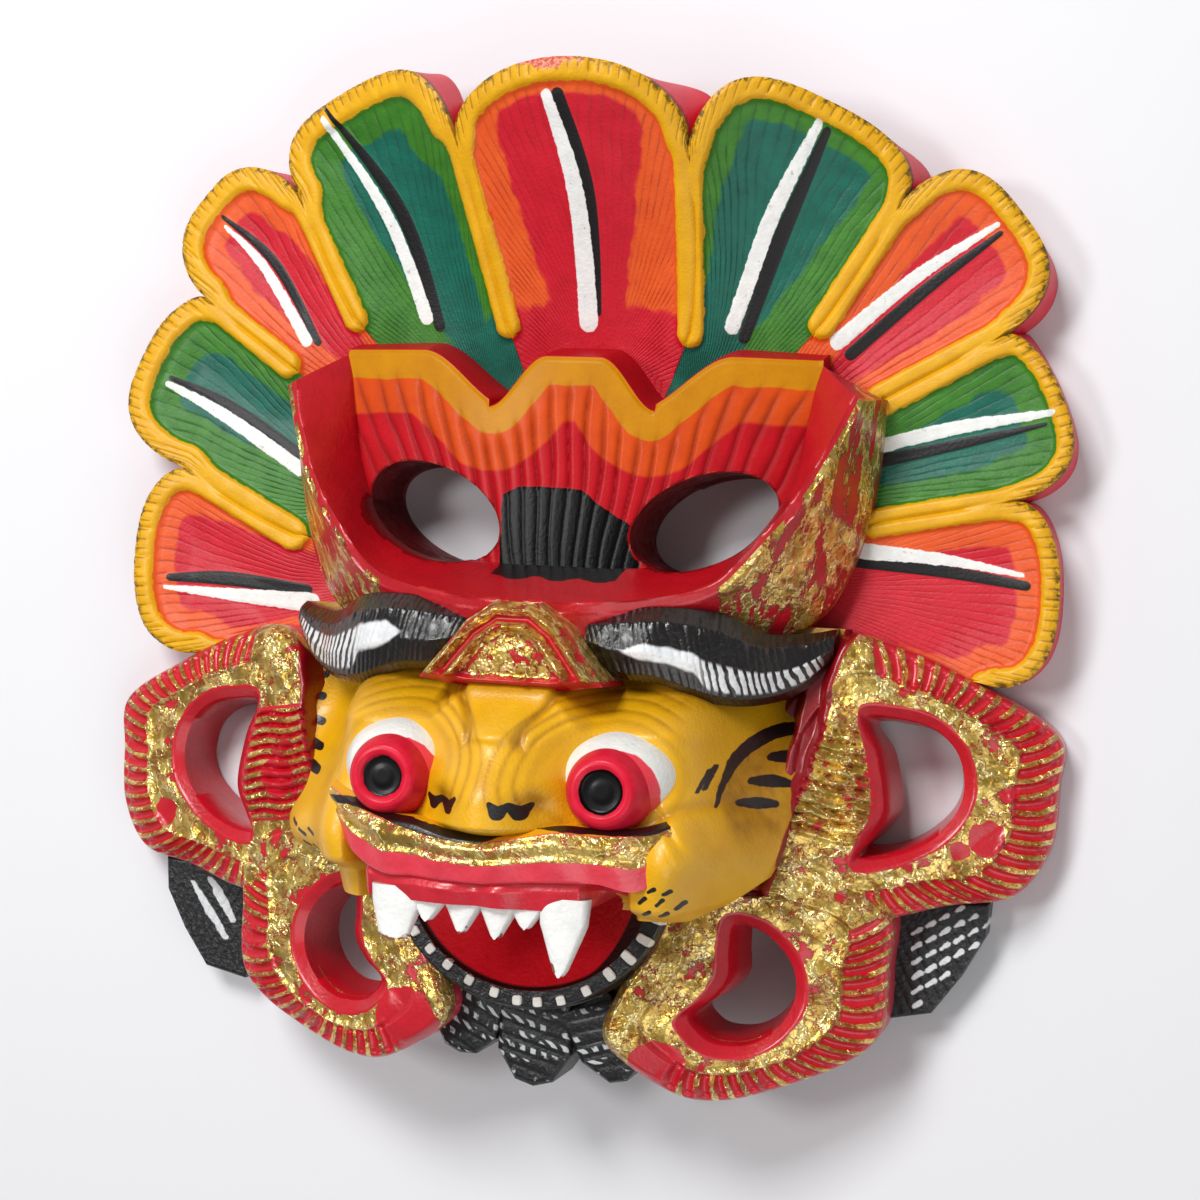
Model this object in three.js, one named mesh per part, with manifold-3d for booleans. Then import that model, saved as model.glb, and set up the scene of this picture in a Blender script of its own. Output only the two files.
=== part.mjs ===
// Barong mask: one block of light wood, carved in relief on the front and hollowed behind the face.
// Millimetres. The mask lies on its back: +Z out of the face, +Y to the crown, +X to the viewer's right.
// The origin is on the flat back, behind the middle of the brow.
import * as THREE from 'three';
import { mergeVertices } from 'three/addons/utils/BufferGeometryUtils.js';
import Module from 'manifold-3d';

const wasm = await Module();
wasm.setup();

// Crown of nine petals, seen from a centre just above the brow
const CROWN_CENTRE = [0, 2];
const CROWN_INNER = 22;
const CROWN_FRONT = 9.5;
const CROWN_THICK = 11;
const CROWN_LEAN = 20;
const CROWN_LEAN_WIDTH = 28;
const CROWN_LEAN_FROM = 28;
const CROWN_LEAN_TO = 78;
const PETAL_SCOOP = 1.6;
const PETAL_BORDER = 4;
// Notches between petals, from the lower left round to the lower right: angle off the crown, radius,
// and how much further out the back edge of the notch lies
const NOTCHES = [
  [-103, 62.5, 0], [-77.2, 65.6, 1], [-56.5, 74.4, 2], [-39.2, 73, 3], [-16, 66.6, 6],
  [14.6, 64.6, 7], [39.1, 73.4, 3], [58.2, 72, 2], [77.3, 65.4, 1], [101, 63.5, 0],
];
// Furthest reach of each petal, in the same order
const PETAL_REACH = [72, 79, 84.4, 80.6, 73.4, 78, 83.4, 75.4, 70.4];
// How square each petal's end is, and how much further it reaches on its right side than on its left
const PETAL_SQUARE = [3, 3, 3, 4.4, 2.5, 4, 3.6, 3, 3];
const PETAL_TILT = [0, 0, 0, -2, 0, 1.2, -0.6, 0, 0];
const PETAL_SHOULDER = 0.62;

// Recess over the brow: a lobed back wall and the crescent rim that ends in two horns
const WALL_HALF = 36;
const WALL_FRONT = 18;
const WALL_SIDE_DROP = 4;
const WALL_FOOT = -3;
const LOBE_NOTCH = [12.5, 26.8];
const LOBE_TOP = 34.3;
const LOBE_SHOULDER = 3.9;
const LOBE_BEVEL = 1.2;
const SIDE_LOBE_X = 23.5;
const SIDE_LOBE_TOP = 35;
// Stations of the crescent from its middle to a horn's tip: foot inside, crest and foot outside
const RIM = [
  { inner: [0, 4, 19.5], crest: [0, -1.2, 36], outer: [0, -8, 34] },
  { inner: [9, 4, 19.5], crest: [9, -1, 35], outer: [9, -8, 33] },
  { inner: [18, 5, 19], crest: [18, 0.2, 32], outer: [20, -7, 29] },
  { inner: [25.5, 7.5, 18], crest: [25, 2.6, 29.5], outer: [31, -5.5, 18] },
  { inner: [30.5, 12.5, 17], crest: [30.5, 8.6, 28.5], outer: [38, -0.5, 13] },
  { inner: [33, 19, 16], crest: [35.2, 15, 26.5], outer: [42.2, 9, 11.5] },
  { inner: [34.5, 27, 15], crest: [38.8, 22.4, 23.5], outer: [44, 18.5, 11] },
  { inner: [35.6, 34.6, 13.5], crest: [41.6, 29.6, 20.5], outer: [44.8, 30, 11] },
];
const RIM_FLAT = 1.6;
const RIM_SLOPE = 0.3;

// Sight holes through the wall of the recess
const SIGHT_HOLE = { x: 20.3, y: 11.2, long: 11, short: 6.6, turn: 22 };

// Face: half width, height of the muzzle and where its parts lie
const FACE_TOP = -3;
const FACE_SIDE = [
  [-3, 40], [-12, 38.6], [-20, 36.8], [-28, 36.4], [-34, 36.4], [-38, 32.5], [-42, 26], [-44, 20],
];
const FACE_EDGE_Z = 17;
const MUZZLE_RISE = 25;
const MUZZLE_HALF = 28;
const BRIDGE_RISE = 7;
const NOSE_RISE = 4;
const FOREHEAD_SINK = 16;
const SOCKET_SINK = 2.5;
const UNDER_NOSE_SINK = 10;
const CHEEK = { x: 28.5, y: -33.5, radius: 8, rise: 8 };
const EAR_HOLLOW = { x: 33.5, y: -17, radius: 6, depth: 4 };
const EYE = { x: 15.2, y: -24.4, halfWide: 8.6, halfTall: 6.9, base: 36, rise: 11, root: 8 };
const IRIS = { x: 15.2, y: -25.6, radius: 5.2, top: 50, base: 40, bore: 2.9, sink: 0.8 };

// Brows, jewel, lip, teeth, jaw and beard
const BROW = [
  [8.6, -5.6, 35], [13, -6.4, 36], [19, -6.4, 35.4], [26, -7.8, 32], [31.5, -9, 27], [36.5, -7.8, 22],
  [40.2, -5.2, 18.5],
];
const BROW_HALF = [2.6, 4.6, 5.4, 6.3, 5, 4, 2.2];
const BROW_PROUD = 3.4;
const BROW_BACK = 10;
const JEWEL = [
  [-13, -12.2], [-6.6, -4.2], [-2.6, -1.4], [3.2, -1.4], [7, -4.2], [13, -12.2], [6, -13.2], [-6, -13.2],
];
const JEWEL_MIDDLE = -8;
const JEWEL_BASE = 24;
const JEWEL_TOP = 43.2;
const JEWEL_BEVEL = 2;
const JEWEL_TABLE = 0.9;
const LIP = [
  [0, -33, 50], [5, -32.4, 49.8], [10, -31.4, 49.2], [15, -31.8, 48], [20, -31.6, 46.2], [24, -29.8, 43.2],
];
const LIP_TALL = [5.6, 5.8, 6.6, 6.8, 6.6, 4.4];
const LIP_BACK = 14;
const GUM_DEPTH = 3;
const GUM_FOOT = -41;
const SMALL_TEETH = [[-8.6, -44.6], [-3.7, -45.8], [1.2, -46.2], [5.2, -44.6]];
const FANGS = [{ x: -13, foot: -48.6, half: 3.4 }, { x: 10.4, foot: -51.4, half: 3.1 }];
const TOOTH_ROOT = -39;
const TOOTH_FACE = 46;
const SMALL_TOOTH_HALF = 2.7;
const FANG_FACE = 46.5;
const JAW = { y: -39.5, halfWide: 21, deep: 19.4, floor: 15, rim: 27.5, bevel: 1.5, lip: 0.85 };
const BEARD_LOBES = [
  { x: -9.6, y: -60, turn: 12, reach: 7.4, half: 5 },
  { x: 0.2, y: -61, turn: 0, reach: 10, half: 5.6 },
  { x: 8.4, y: -60, turn: -32, reach: 10.5, half: 4.6 },
];
const BEARD_BACK = 9;
const BEARD_FRONT = 21;

// Ear ornaments: spokes from the edge of each hole to the outer edge, on the viewer's right
const UPPER_RING = [
  [[44.9, -15.4], [40.2, -4.2]], [[49.5, -15.2], [50, -5.6]], [[54, -16.4], [60.5, -10.2]],
  [[57.4, -19.6], [71, -16.6]], [[58.6, -24.4], [71.4, -24.4]], [[57.4, -28.6], [70.6, -33]],
  [[53.8, -32.4], [66, -39.6]], [[49.2, -34.6], [57, -41.4]], [[44.8, -35], [44, -44]],
  [[46, -32.4], [32, -38]], [[48, -28], [30, -28]], [[46.8, -20.6], [31, -16]],
];
const LOWER_RING = [
  [[28.8, -45], [23, -38]], [[32.3, -45.8], [36, -36]], [[35.3, -48.3], [48.8, -41.6]],
  [[37.1, -51.5], [49.6, -51]], [[37.2, -55.5], [49, -59.4]], [[35.2, -59.2], [44.6, -64]],
  [[31.8, -61.6], [36, -67.8]], [[28, -62], [28, -70]], [[25.2, -61], [21, -69]],
  [[23.2, -58.2], [12, -62.4]], [[26.2, -55.6], [13.5, -55]], [[28.2, -52.5], [17, -49]],
  [[28.2, -48.5], [19, -43]],
];
const RING_THICK = 11;
const RING_OUTER_Z = 7.5;
const RING_SLOPE = 0.34;
const RING_FAR = 72;
const RING_BORDER = 6;
const LOWER_RING_LIFT = 0.5;
const HOLE_NARROWING = 1.2;
const RING_STEP = 0.7;
const RING_ROUNDING = 1.6;
const RING_DROP = 2.4;
// Carved by hand, the viewer's left ornament is not quite the mirror of the right one
const LEFT_UPPER_SHIFT = [2.8, -3.2];
const LEFT_LOWER_SHIFT = [-0.8, 1.2];
const TUFT = [[45, -42], [62.6, -41], [62.2, -46], [59, -52], [55, -57.6], [48.5, -59]];
const TUFT_THICK = 6;

// Hollow behind the face, and the notch that takes the nail
const HOLLOW = { y: -22.5, halfWide: 28, halfTall: 18, depth: 24 };
const NAIL_NOTCH = { y: 27, wide: 9, tall: 6, depth: 6 };

const rad = THREE.MathUtils.degToRad;
const smooth = THREE.MathUtils.smoothstep;
const lerp = THREE.MathUtils.lerp;
const bump = (distance, radius) => Math.exp(-((distance / radius) ** 2));

// A closed geometry from vertices and triangles
function closedGeometry(points, triangles) {
  const geometry = new THREE.BufferGeometry();
  geometry.setAttribute('position', new THREE.Float32BufferAttribute(points.flat(), 3));
  geometry.setIndex(triangles.flat());
  return geometry;
}

// Volume between the triangles and the origin, negative when they face inwards
function signedVolume(geometry) {
  const p = geometry.attributes.position;
  const index = geometry.index.array;
  const corner = (i) => new THREE.Vector3().fromBufferAttribute(p, i);
  let volume = 0;
  for (let i = 0; i < index.length; i += 3) {
    volume += corner(index[i]).dot(corner(index[i + 1]).cross(corner(index[i + 2]))) / 6;
  }
  return volume;
}

function flipped(geometry) {
  const index = geometry.index.array;
  for (let i = 0; i < index.length; i += 3) {
    [index[i], index[i + 1]] = [index[i + 1], index[i]];
  }
  return geometry;
}

// A block between a front and a back surface over the same grid of u and v from 0 to 1
function gridBlock(columns, rows, front, back) {
  const points = [];
  for (const surface of [front, back]) {
    for (let i = 0; i <= columns; i++) {
      for (let j = 0; j <= rows; j++) {
        points.push(surface(i / columns, j / rows));
      }
    }
  }
  const size = (columns + 1) * (rows + 1);
  const at = (i, j) => i * (rows + 1) + j;
  const triangles = [];
  for (let i = 0; i < columns; i++) {
    for (let j = 0; j < rows; j++) {
      const [a, b, c, d] = [at(i, j), at(i + 1, j), at(i + 1, j + 1), at(i, j + 1)];
      triangles.push([a, b, c], [a, c, d], [a + size, c + size, b + size], [a + size, d + size, c + size]);
    }
  }
  const rim = [];
  for (let i = 0; i < columns; i++) {
    rim.push([at(i, 0), at(i + 1, 0)], [at(i + 1, rows), at(i, rows)]);
  }
  for (let j = 0; j < rows; j++) {
    rim.push([at(columns, j), at(columns, j + 1)], [at(0, j + 1), at(0, j)]);
  }
  for (const [a, b] of rim) {
    triangles.push([a + size, b + size, b], [a + size, b, a]);
  }
  return closedGeometry(points, triangles);
}

// A profile of points carried along stations; open ends are closed with a fan, or the ends meet
function carriedProfile(stations, endsMeet) {
  const count = stations.length;
  const around = stations[0].length;
  const points = stations.flat();
  const triangles = [];
  for (let i = 0; i < (endsMeet ? count : count - 1); i++) {
    const next = (i + 1) % count;
    for (let j = 0; j < around; j++) {
      const after = (j + 1) % around;
      const [a, b] = [i * around + j, next * around + j];
      const [c, d] = [next * around + after, i * around + after];
      triangles.push([a, b, c], [a, c, d]);
    }
  }
  if (!endsMeet) {
    for (let j = 1; j < around - 1; j++) {
      const last = (count - 1) * around;
      triangles.push([0, j, j + 1], [last, last + j + 1, last + j]);
    }
  }
  return closedGeometry(points, triangles);
}

// A flat outline raised from z = low to z = high
function prism(outline, low, high) {
  const shape = new THREE.Shape(outline.map(([x, y]) => new THREE.Vector2(x, y)));
  return new THREE.ExtrudeGeometry(shape, { depth: high - low, bevelEnabled: false }).translate(0, 0, low);
}

// The same geometry with shared vertices, turned so that its faces point out
function outward(geometry) {
  geometry.deleteAttribute('normal');
  geometry.deleteAttribute('uv');
  const welded = mergeVertices(geometry, 1e-4);
  return signedVolume(welded) < 0 ? flipped(welded) : welded;
}

function solid(geometry) {
  const welded = outward(geometry);
  return new wasm.Manifold(new wasm.Mesh({
    numProp: 3,
    vertProperties: new Float32Array(welded.attributes.position.array),
    triVerts: new Uint32Array(welded.index.array),
  }));
}

const mirrored = (part) => part.mirror([1, 0, 0]);

// Value at x on the straight pieces between listed pairs
function between(pairs, x) {
  const rising = pairs[0][0] < pairs[pairs.length - 1][0];
  const list = rising ? pairs : [...pairs].reverse();
  if (x <= list[0][0]) return list[0][1];
  for (let i = 1; i < list.length; i++) {
    if (x <= list[i][0]) {
      return lerp(list[i - 1][1], list[i][1], (x - list[i - 1][0]) / (list[i][0] - list[i - 1][0]));
    }
  }
  return list[list.length - 1][1];
}

// Petal outline: an arch that rises steeply from the notch at each side
function petalReach(k, t) {
  const low = lerp(NOTCHES[k][1], NOTCHES[k + 1][1], (t + 1) / 2);
  const high = PETAL_REACH[k] + PETAL_TILT[k] * t;
  return low + (high - low) * (1 - Math.abs(t) ** PETAL_SQUARE[k]) ** PETAL_SHOULDER;
}

// How far a point of the crown leans forward, most at the top of the middle petal
function crownLean(angle, radius) {
  return CROWN_LEAN * bump(angle, CROWN_LEAN_WIDTH) * smooth(radius, CROWN_LEAN_FROM, CROWN_LEAN_TO);
}

function crown() {
  const across = [-1, -0.78, -0.6, -0.3, 0, 0.3, 0.6, 0.78];
  const columns = across.length * PETAL_REACH.length;
  const along = [0, 0.3, 0.6, 0.8, 0.93, 1];
  const rows = along.length - 1;
  const petalAt = (u) => {
    const i = Math.round(u * columns);
    const k = Math.min(Math.floor(i / across.length), PETAL_REACH.length - 1);
    const t = i === columns ? 1 : across[i - k * across.length];
    return [k, t, lerp(NOTCHES[k][0], NOTCHES[k + 1][0], (t + 1) / 2)];
  };
  const place = (angle, radius, z) => [
    CROWN_CENTRE[0] + radius * Math.sin(rad(angle)), CROWN_CENTRE[1] + radius * Math.cos(rad(angle)), z,
  ];
  const front = (u, v) => {
    const [k, t, angle] = petalAt(u);
    const reach = petalReach(k, t);
    const radius = lerp(CROWN_INNER, reach, along[Math.round(v * rows)]);
    const halfAngle = rad(NOTCHES[k + 1][0] - NOTCHES[k][0]) / 2;
    const toBorder = Math.min((1 - Math.abs(t)) * halfAngle * radius, reach - radius);
    const scoop = PETAL_SCOOP * smooth(toBorder, PETAL_BORDER * 0.5, PETAL_BORDER);
    return place(angle, radius, CROWN_FRONT + crownLean(angle, radius) - scoop);
  };
  const back = (u, v) => {
    const [k, t, angle] = petalAt(u);
    const flare = lerp(NOTCHES[k][2], NOTCHES[k + 1][2], (t + 1) / 2) * Math.abs(t) ** 3;
    const radius = lerp(CROWN_INNER, petalReach(k, t) + flare, along[Math.round(v * rows)]);
    return place(angle, radius, Math.max(0, CROWN_FRONT + crownLean(angle, radius) - CROWN_THICK));
  };
  return gridBlock(columns, rows, front, back);
}

// Upper edge of the recess wall: a middle lobe with flat top, and a side lobe each side
function lobeEdge(x) {
  const out = Math.abs(x);
  if (out <= LOBE_NOTCH[0]) {
    const t = smooth(out, LOBE_SHOULDER, LOBE_NOTCH[0]);
    return lerp(LOBE_TOP, LOBE_NOTCH[1], t ** 1.1);
  }
  return lerp(LOBE_NOTCH[1], SIDE_LOBE_TOP, smooth(out, LOBE_NOTCH[0] - 3, SIDE_LOBE_X));
}

function recessWall() {
  const across = (u) => lerp(-WALL_HALF, WALL_HALF, u);
  const front = (u, v) => {
    const x = across(u);
    return [x, lerp(WALL_FOOT, lobeEdge(x), v), WALL_FRONT - WALL_SIDE_DROP * (x / WALL_HALF) ** 2];
  };
  const back = (u, v) => {
    const x = across(u);
    return [x, lerp(WALL_FOOT, lobeEdge(x) + LOBE_BEVEL, v), 0];
  };
  return gridBlock(24, 4, front, back);
}

function crescentRim() {
  const stations = [];
  const bothSides = [...RIM.slice(1).reverse().map((s) => [-1, s]), ...RIM.map((s) => [1, s])];
  for (const [side, { inner, crest, outer }] of bothSides) {
    const toOuter = new THREE.Vector2(outer[0] - inner[0], outer[1] - inner[1]).normalize();
    const crestOut = [crest[0] + RIM_FLAT * toOuter.x, crest[1] + RIM_FLAT * toOuter.y, crest[2] - RIM_SLOPE];
    const section = [[inner[0], inner[1], 0], inner, crest, crestOut, outer, [outer[0], outer[1], 0]];
    stations.push(section.map(([x, y, z]) => [side * x, y, z]));
  }
  return carriedProfile(stations, false);
}

// Height of the face without eyes, lip and jewel
function faceHeight(x, y) {
  const out = Math.abs(x);
  const muzzle = MUZZLE_RISE / (1 + (out / MUZZLE_HALF) ** 12);
  const browFoot = lerp(-14, -19, smooth(out, 5, 12));
  const brow = FOREHEAD_SINK * smooth(y, browFoot, browFoot + 8) * bump(out, 34);
  const bridge = BRIDGE_RISE * bump(out, 9) * smooth(-y, 13, 20);
  const nose = NOSE_RISE * bump(out, 10) * smooth(-y, 20, 28);
  const cheek = CHEEK.rise * bump(Math.hypot(out - CHEEK.x, y - CHEEK.y), CHEEK.radius);
  const ear = EAR_HOLLOW.depth * bump(Math.hypot(out - EAR_HOLLOW.x, y - EAR_HOLLOW.y), EAR_HOLLOW.radius);
  const socket = SOCKET_SINK * bump(Math.hypot(out - EYE.x, y - EYE.y), EYE.halfWide + 1);
  const underNose = UNDER_NOSE_SINK * smooth(-y, 31, 34) * (1 - smooth(out, 22, 25));
  return FACE_EDGE_Z + muzzle - brow + bridge + nose + cheek - ear - socket - underNose;
}

function face() {
  const rowY = (v) => lerp(FACE_TOP, FACE_SIDE[FACE_SIDE.length - 1][0] + 3, v);
  const half = (y) => between(FACE_SIDE, y);
  const across = (u) => Math.sign(u - 0.5) * Math.abs(2 * u - 1) ** 0.9;
  const front = (u, v) => {
    const y = rowY(v);
    const x = across(u) * half(y);
    return [x, y, faceHeight(x, y)];
  };
  const back = (u, v) => [across(u) * half(rowY(v)), rowY(v), 0];
  return gridBlock(26, 14, front, back);
}

// A shape turned about +Z from a profile of radius and height
function turned(profile, sides) {
  const points = profile.map(([radius, z]) => new THREE.Vector2(radius, z));
  return new THREE.LatheGeometry(points, sides).rotateX(Math.PI / 2);
}

// Eye: a low dome with a raised iris ring round a sunk pupil, on the viewer's right
function eye() {
  const dome = [[0, EYE.base - EYE.root], [1, EYE.base - EYE.root]];
  for (const degrees of [0, 22.5, 45, 67.5]) {
    dome.push([Math.cos(rad(degrees)), EYE.base + EYE.rise * Math.sin(rad(degrees))]);
  }
  dome.push([0, EYE.base + EYE.rise]);
  const ball = turned(dome, 20).scale(EYE.halfWide, EYE.halfTall, 1).translate(EYE.x, EYE.y, 0);
  const ring = [
    [0, IRIS.base], [IRIS.radius, IRIS.base], [IRIS.radius, IRIS.top - 1.2], [IRIS.radius - 1, IRIS.top],
    [IRIS.bore, IRIS.top - 0.2], [0, IRIS.top - IRIS.sink],
  ];
  return [solid(ball), solid(turned(ring, 16).translate(IRIS.x, IRIS.y, 0))];
}

// A brow with a rounded front that follows listed points, each with its own half height
function brow() {
  const stations = BROW.map(([x, y, z], i) => {
    const h = BROW_HALF[i];
    return [
      [x, y + h, BROW_BACK], [x, y + h, z - BROW_PROUD], [x, y + h * 0.6, z - 0.6], [x, y - h * 0.2, z],
      [x, y - h * 0.8, z - 1.2], [x, y - h, z - BROW_PROUD], [x, y - h, BROW_BACK],
    ];
  });
  return carriedProfile(stations, false);
}

// A jewel with a bevelled edge round a flat table
function jewel() {
  const level = (scale, z) => JEWEL.map(([x, y]) => [x * scale, lerp(JEWEL_MIDDLE, y, scale), z]);
  const levels = [level(1, JEWEL_BASE), level(1, JEWEL_TOP - JEWEL_BEVEL), level(JEWEL_TABLE, JEWEL_TOP)];
  return carriedProfile(levels, false);
}

function upperLip() {
  const right = LIP.slice(1);
  const points = [...right.map(([x, y, z]) => [-x, y, z]).reverse(), ...LIP];
  const tall = [...LIP_TALL.slice(1).reverse(), ...LIP_TALL];
  const stations = points.map(([x, y, z], i) => {
    const foot = Math.max(y - tall[i], GUM_FOOT + 1.5);
    return [
      [x, y + 0.8, LIP_BACK], [x, y + 0.8, z - 2], [x, y, z - 0.4], [x, y - tall[i] * 0.55, z],
      [x, foot, z - 1.4], [x, foot - 0.4, z - GUM_DEPTH], [x, GUM_FOOT, z - GUM_DEPTH - 1],
      [x, GUM_FOOT, LIP_BACK],
    ];
  });
  return carriedProfile(stations, false);
}

// A tooth: a wedge from a wide root to a blunt tip
function tooth(x, foot, half, z) {
  const level = (y, h, deep) => [[x - h, y, z], [x + h, y, z], [x + h, y, z - deep], [x - h, y, z - deep]];
  const middle = lerp(TOOTH_ROOT, foot, 0.5);
  const levels = [level(TOOTH_ROOT, half, 4), level(middle, half * 0.8, 3.4), level(foot, half * 0.2, 1.6)];
  return solid(carriedProfile(levels, false));
}

function teeth() {
  const small = SMALL_TEETH.map(([x, foot]) => tooth(x, foot, SMALL_TOOTH_HALF, TOOTH_FACE));
  const fangs = FANGS.map(({ x, foot, half }) => tooth(x, foot, half, FANG_FACE));
  return [...small, ...fangs];
}

// Lower jaw: half a dish whose rim carries the lower teeth
function jaw() {
  const along = [0, 0.35, 0.65, JAW.lip, 0.93, 1];
  const rows = along.length - 1;
  const place = (u, v) => {
    const angle = Math.PI * (1 + u);
    const r = along[Math.round(v * rows)];
    return [JAW.halfWide * Math.max(r, 0.02) * Math.cos(angle), JAW.y + JAW.deep * r * Math.sin(angle), r];
  };
  const front = (u, v) => {
    const [x, y, r] = place(u, v);
    if (r > JAW.lip) {
      return [x, y, r === 1 ? JAW.rim - JAW.bevel : JAW.rim];
    }
    return [x, y, lerp(JAW.floor, JAW.rim - 1, (r / JAW.lip) ** 2)];
  };
  const back = (u, v) => {
    const [x, y] = place(u, v);
    return [x, y, 0];
  };
  return gridBlock(18, rows, front, back);
}

function beard() {
  return BEARD_LOBES.map(({ x, y, turn, reach, half }) => {
    const outline = [[-half, 3], [half, 3], [half, -reach * 0.5], [half * 0.5, -reach * 0.92], [0, -reach],
      [-half * 0.5, -reach * 0.92], [-half, -reach * 0.5]];
    const shape = prism(outline, BEARD_BACK, BEARD_FRONT);
    return solid(shape.rotateZ(rad(-turn)).translate(x, y, 0));
  });
}

// Front of the ear ornaments: it rises towards the face
const ringFront = (x) => RING_OUTER_Z + RING_SLOPE * (RING_FAR - x);

// A ring round one hole: inner wall, red lip, flat, step and border, and the outer wall
function earRing(spokes, lift, shift) {
  const loop = (end) => {
    const points = spokes.map((spoke) => {
      const [x, y] = spoke[end];
      return new THREE.Vector3(x + shift[0], y + shift[1], 0);
    });
    return new THREE.CatmullRomCurve3(points, true, 'catmullrom', 0.5);
  };
  const [hole, outer] = [loop(0), loop(1)];
  const count = spokes.length * 3;
  const stations = [];
  for (let i = 0; i < count; i++) {
    const a = hole.getPoint(i / count);
    const b = outer.getPoint(i / count);
    const width = a.distanceTo(b);
    const out = (mm) => a.clone().lerp(b, Math.min(mm / width, 1));
    const border = Math.min(RING_BORDER, width * 0.5);
    const at = (mm, rise) => {
      const p = out(mm);
      return [p.x, p.y, ringFront(p.x) + lift + rise];
    };
    const under = (mm) => {
      const p = out(mm);
      return [p.x, p.y, Math.max(0, ringFront(p.x) + lift - RING_THICK)];
    };
    const step = width - border;
    stations.push([
      under(-HOLE_NARROWING), at(0, -RING_STEP * 2), at(RING_ROUNDING, 0), at(step, -0.2),
      at(step + RING_STEP, RING_STEP), at(width - RING_ROUNDING, -0.2), at(width, -RING_DROP), under(width),
    ]);
  }
  return carriedProfile(stations, true);
}

function earOrnament(upperShift, lowerShift) {
  const tuft = prism(TUFT.map(([x, y]) => [x + upperShift[0], y + upperShift[1]]), 0, TUFT_THICK);
  const upper = earRing(UPPER_RING, 0, upperShift);
  const lower = earRing(LOWER_RING, LOWER_RING_LIFT, lowerShift);
  return [upper, lower, tuft].map(solid);
}

function sightHole() {
  const cutter = new THREE.CylinderGeometry(1, 1, 80, 28).rotateX(Math.PI / 2);
  cutter.scale(SIGHT_HOLE.long, SIGHT_HOLE.short, 1).rotateZ(rad(SIGHT_HOLE.turn));
  return cutter.translate(SIGHT_HOLE.x, SIGHT_HOLE.y, WALL_FRONT);
}

function faceHollow() {
  const ball = new THREE.SphereGeometry(1, 28, 16);
  return ball.scale(HOLLOW.halfWide, HOLLOW.halfTall, HOLLOW.depth).translate(0, HOLLOW.y, 0);
}

function nailNotch() {
  const box = new THREE.BoxGeometry(NAIL_NOTCH.wide, NAIL_NOTCH.tall, NAIL_NOTCH.depth * 2);
  return box.translate(0, NAIL_NOTCH.y, 0);
}

function carvedBlock() {
  let block = solid(crown());
  const rightSide = [...eye(), solid(brow())];
  const pieces = [
    solid(recessWall()), solid(crescentRim()), solid(face()), ...rightSide, ...rightSide.map(mirrored),
    solid(jewel()), solid(upperLip()), ...teeth(), solid(jaw()), ...beard(), ...earOrnament([0, 0], [0, 0]),
    ...earOrnament(LEFT_UPPER_SHIFT, LEFT_LOWER_SHIFT).map(mirrored),
  ];
  for (const piece of pieces) {
    block = block.add(piece);
  }
  const hole = solid(sightHole());
  for (const cutter of [hole, mirrored(hole), solid(faceHollow()), solid(nailNotch())]) {
    block = block.subtract(cutter);
  }
  return block;
}

function maskMesh() {
  const { vertProperties, triVerts } = carvedBlock().getMesh();
  const geometry = new THREE.BufferGeometry();
  geometry.setAttribute('position', new THREE.Float32BufferAttribute(vertProperties, 3));
  geometry.setIndex(new THREE.Uint32BufferAttribute(triVerts, 1));
  const paintedWood = new THREE.MeshStandardMaterial({ color: 0xb81f2c, roughness: 0.45, metalness: 0 });
  const mesh = new THREE.Mesh(geometry, paintedWood);
  mesh.name = 'mask';
  return mesh;
}

const barongMask = new THREE.Group();
barongMask.add(maskMesh());

export default barongMask;
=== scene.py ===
import bpy
import numpy as np
from mathutils import Matrix, Vector


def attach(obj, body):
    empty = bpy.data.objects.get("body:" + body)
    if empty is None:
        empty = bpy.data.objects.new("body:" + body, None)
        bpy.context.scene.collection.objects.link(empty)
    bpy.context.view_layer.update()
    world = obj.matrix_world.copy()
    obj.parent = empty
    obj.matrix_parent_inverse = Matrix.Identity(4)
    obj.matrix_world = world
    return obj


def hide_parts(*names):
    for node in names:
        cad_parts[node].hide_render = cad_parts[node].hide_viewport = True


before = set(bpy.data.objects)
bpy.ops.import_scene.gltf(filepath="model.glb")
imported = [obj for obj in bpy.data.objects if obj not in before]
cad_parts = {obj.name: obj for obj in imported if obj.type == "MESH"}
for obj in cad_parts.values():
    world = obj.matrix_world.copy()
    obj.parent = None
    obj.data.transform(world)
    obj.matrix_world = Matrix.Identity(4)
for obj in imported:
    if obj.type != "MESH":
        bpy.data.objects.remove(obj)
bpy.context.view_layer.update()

# Viewpoint: the mask lies on its back, seen from above, a little from its left and turned in the picture.
# Lengths in this file are millimetres; meshes, lights and the camera are written in metres.
MM = 0.001
VIEW_SIDE = np.radians(14.8181)
VIEW_RISE = np.radians(0.1703)
VIEW_ROLL = np.radians(2.9067)
VIEW_DISTANCE = 350.08
VIEW_TARGET = Vector((2.007, -0.662, 3.0))
PICTURE_SIDE = 1200
FOCAL_PIXELS = 2324.1

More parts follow.
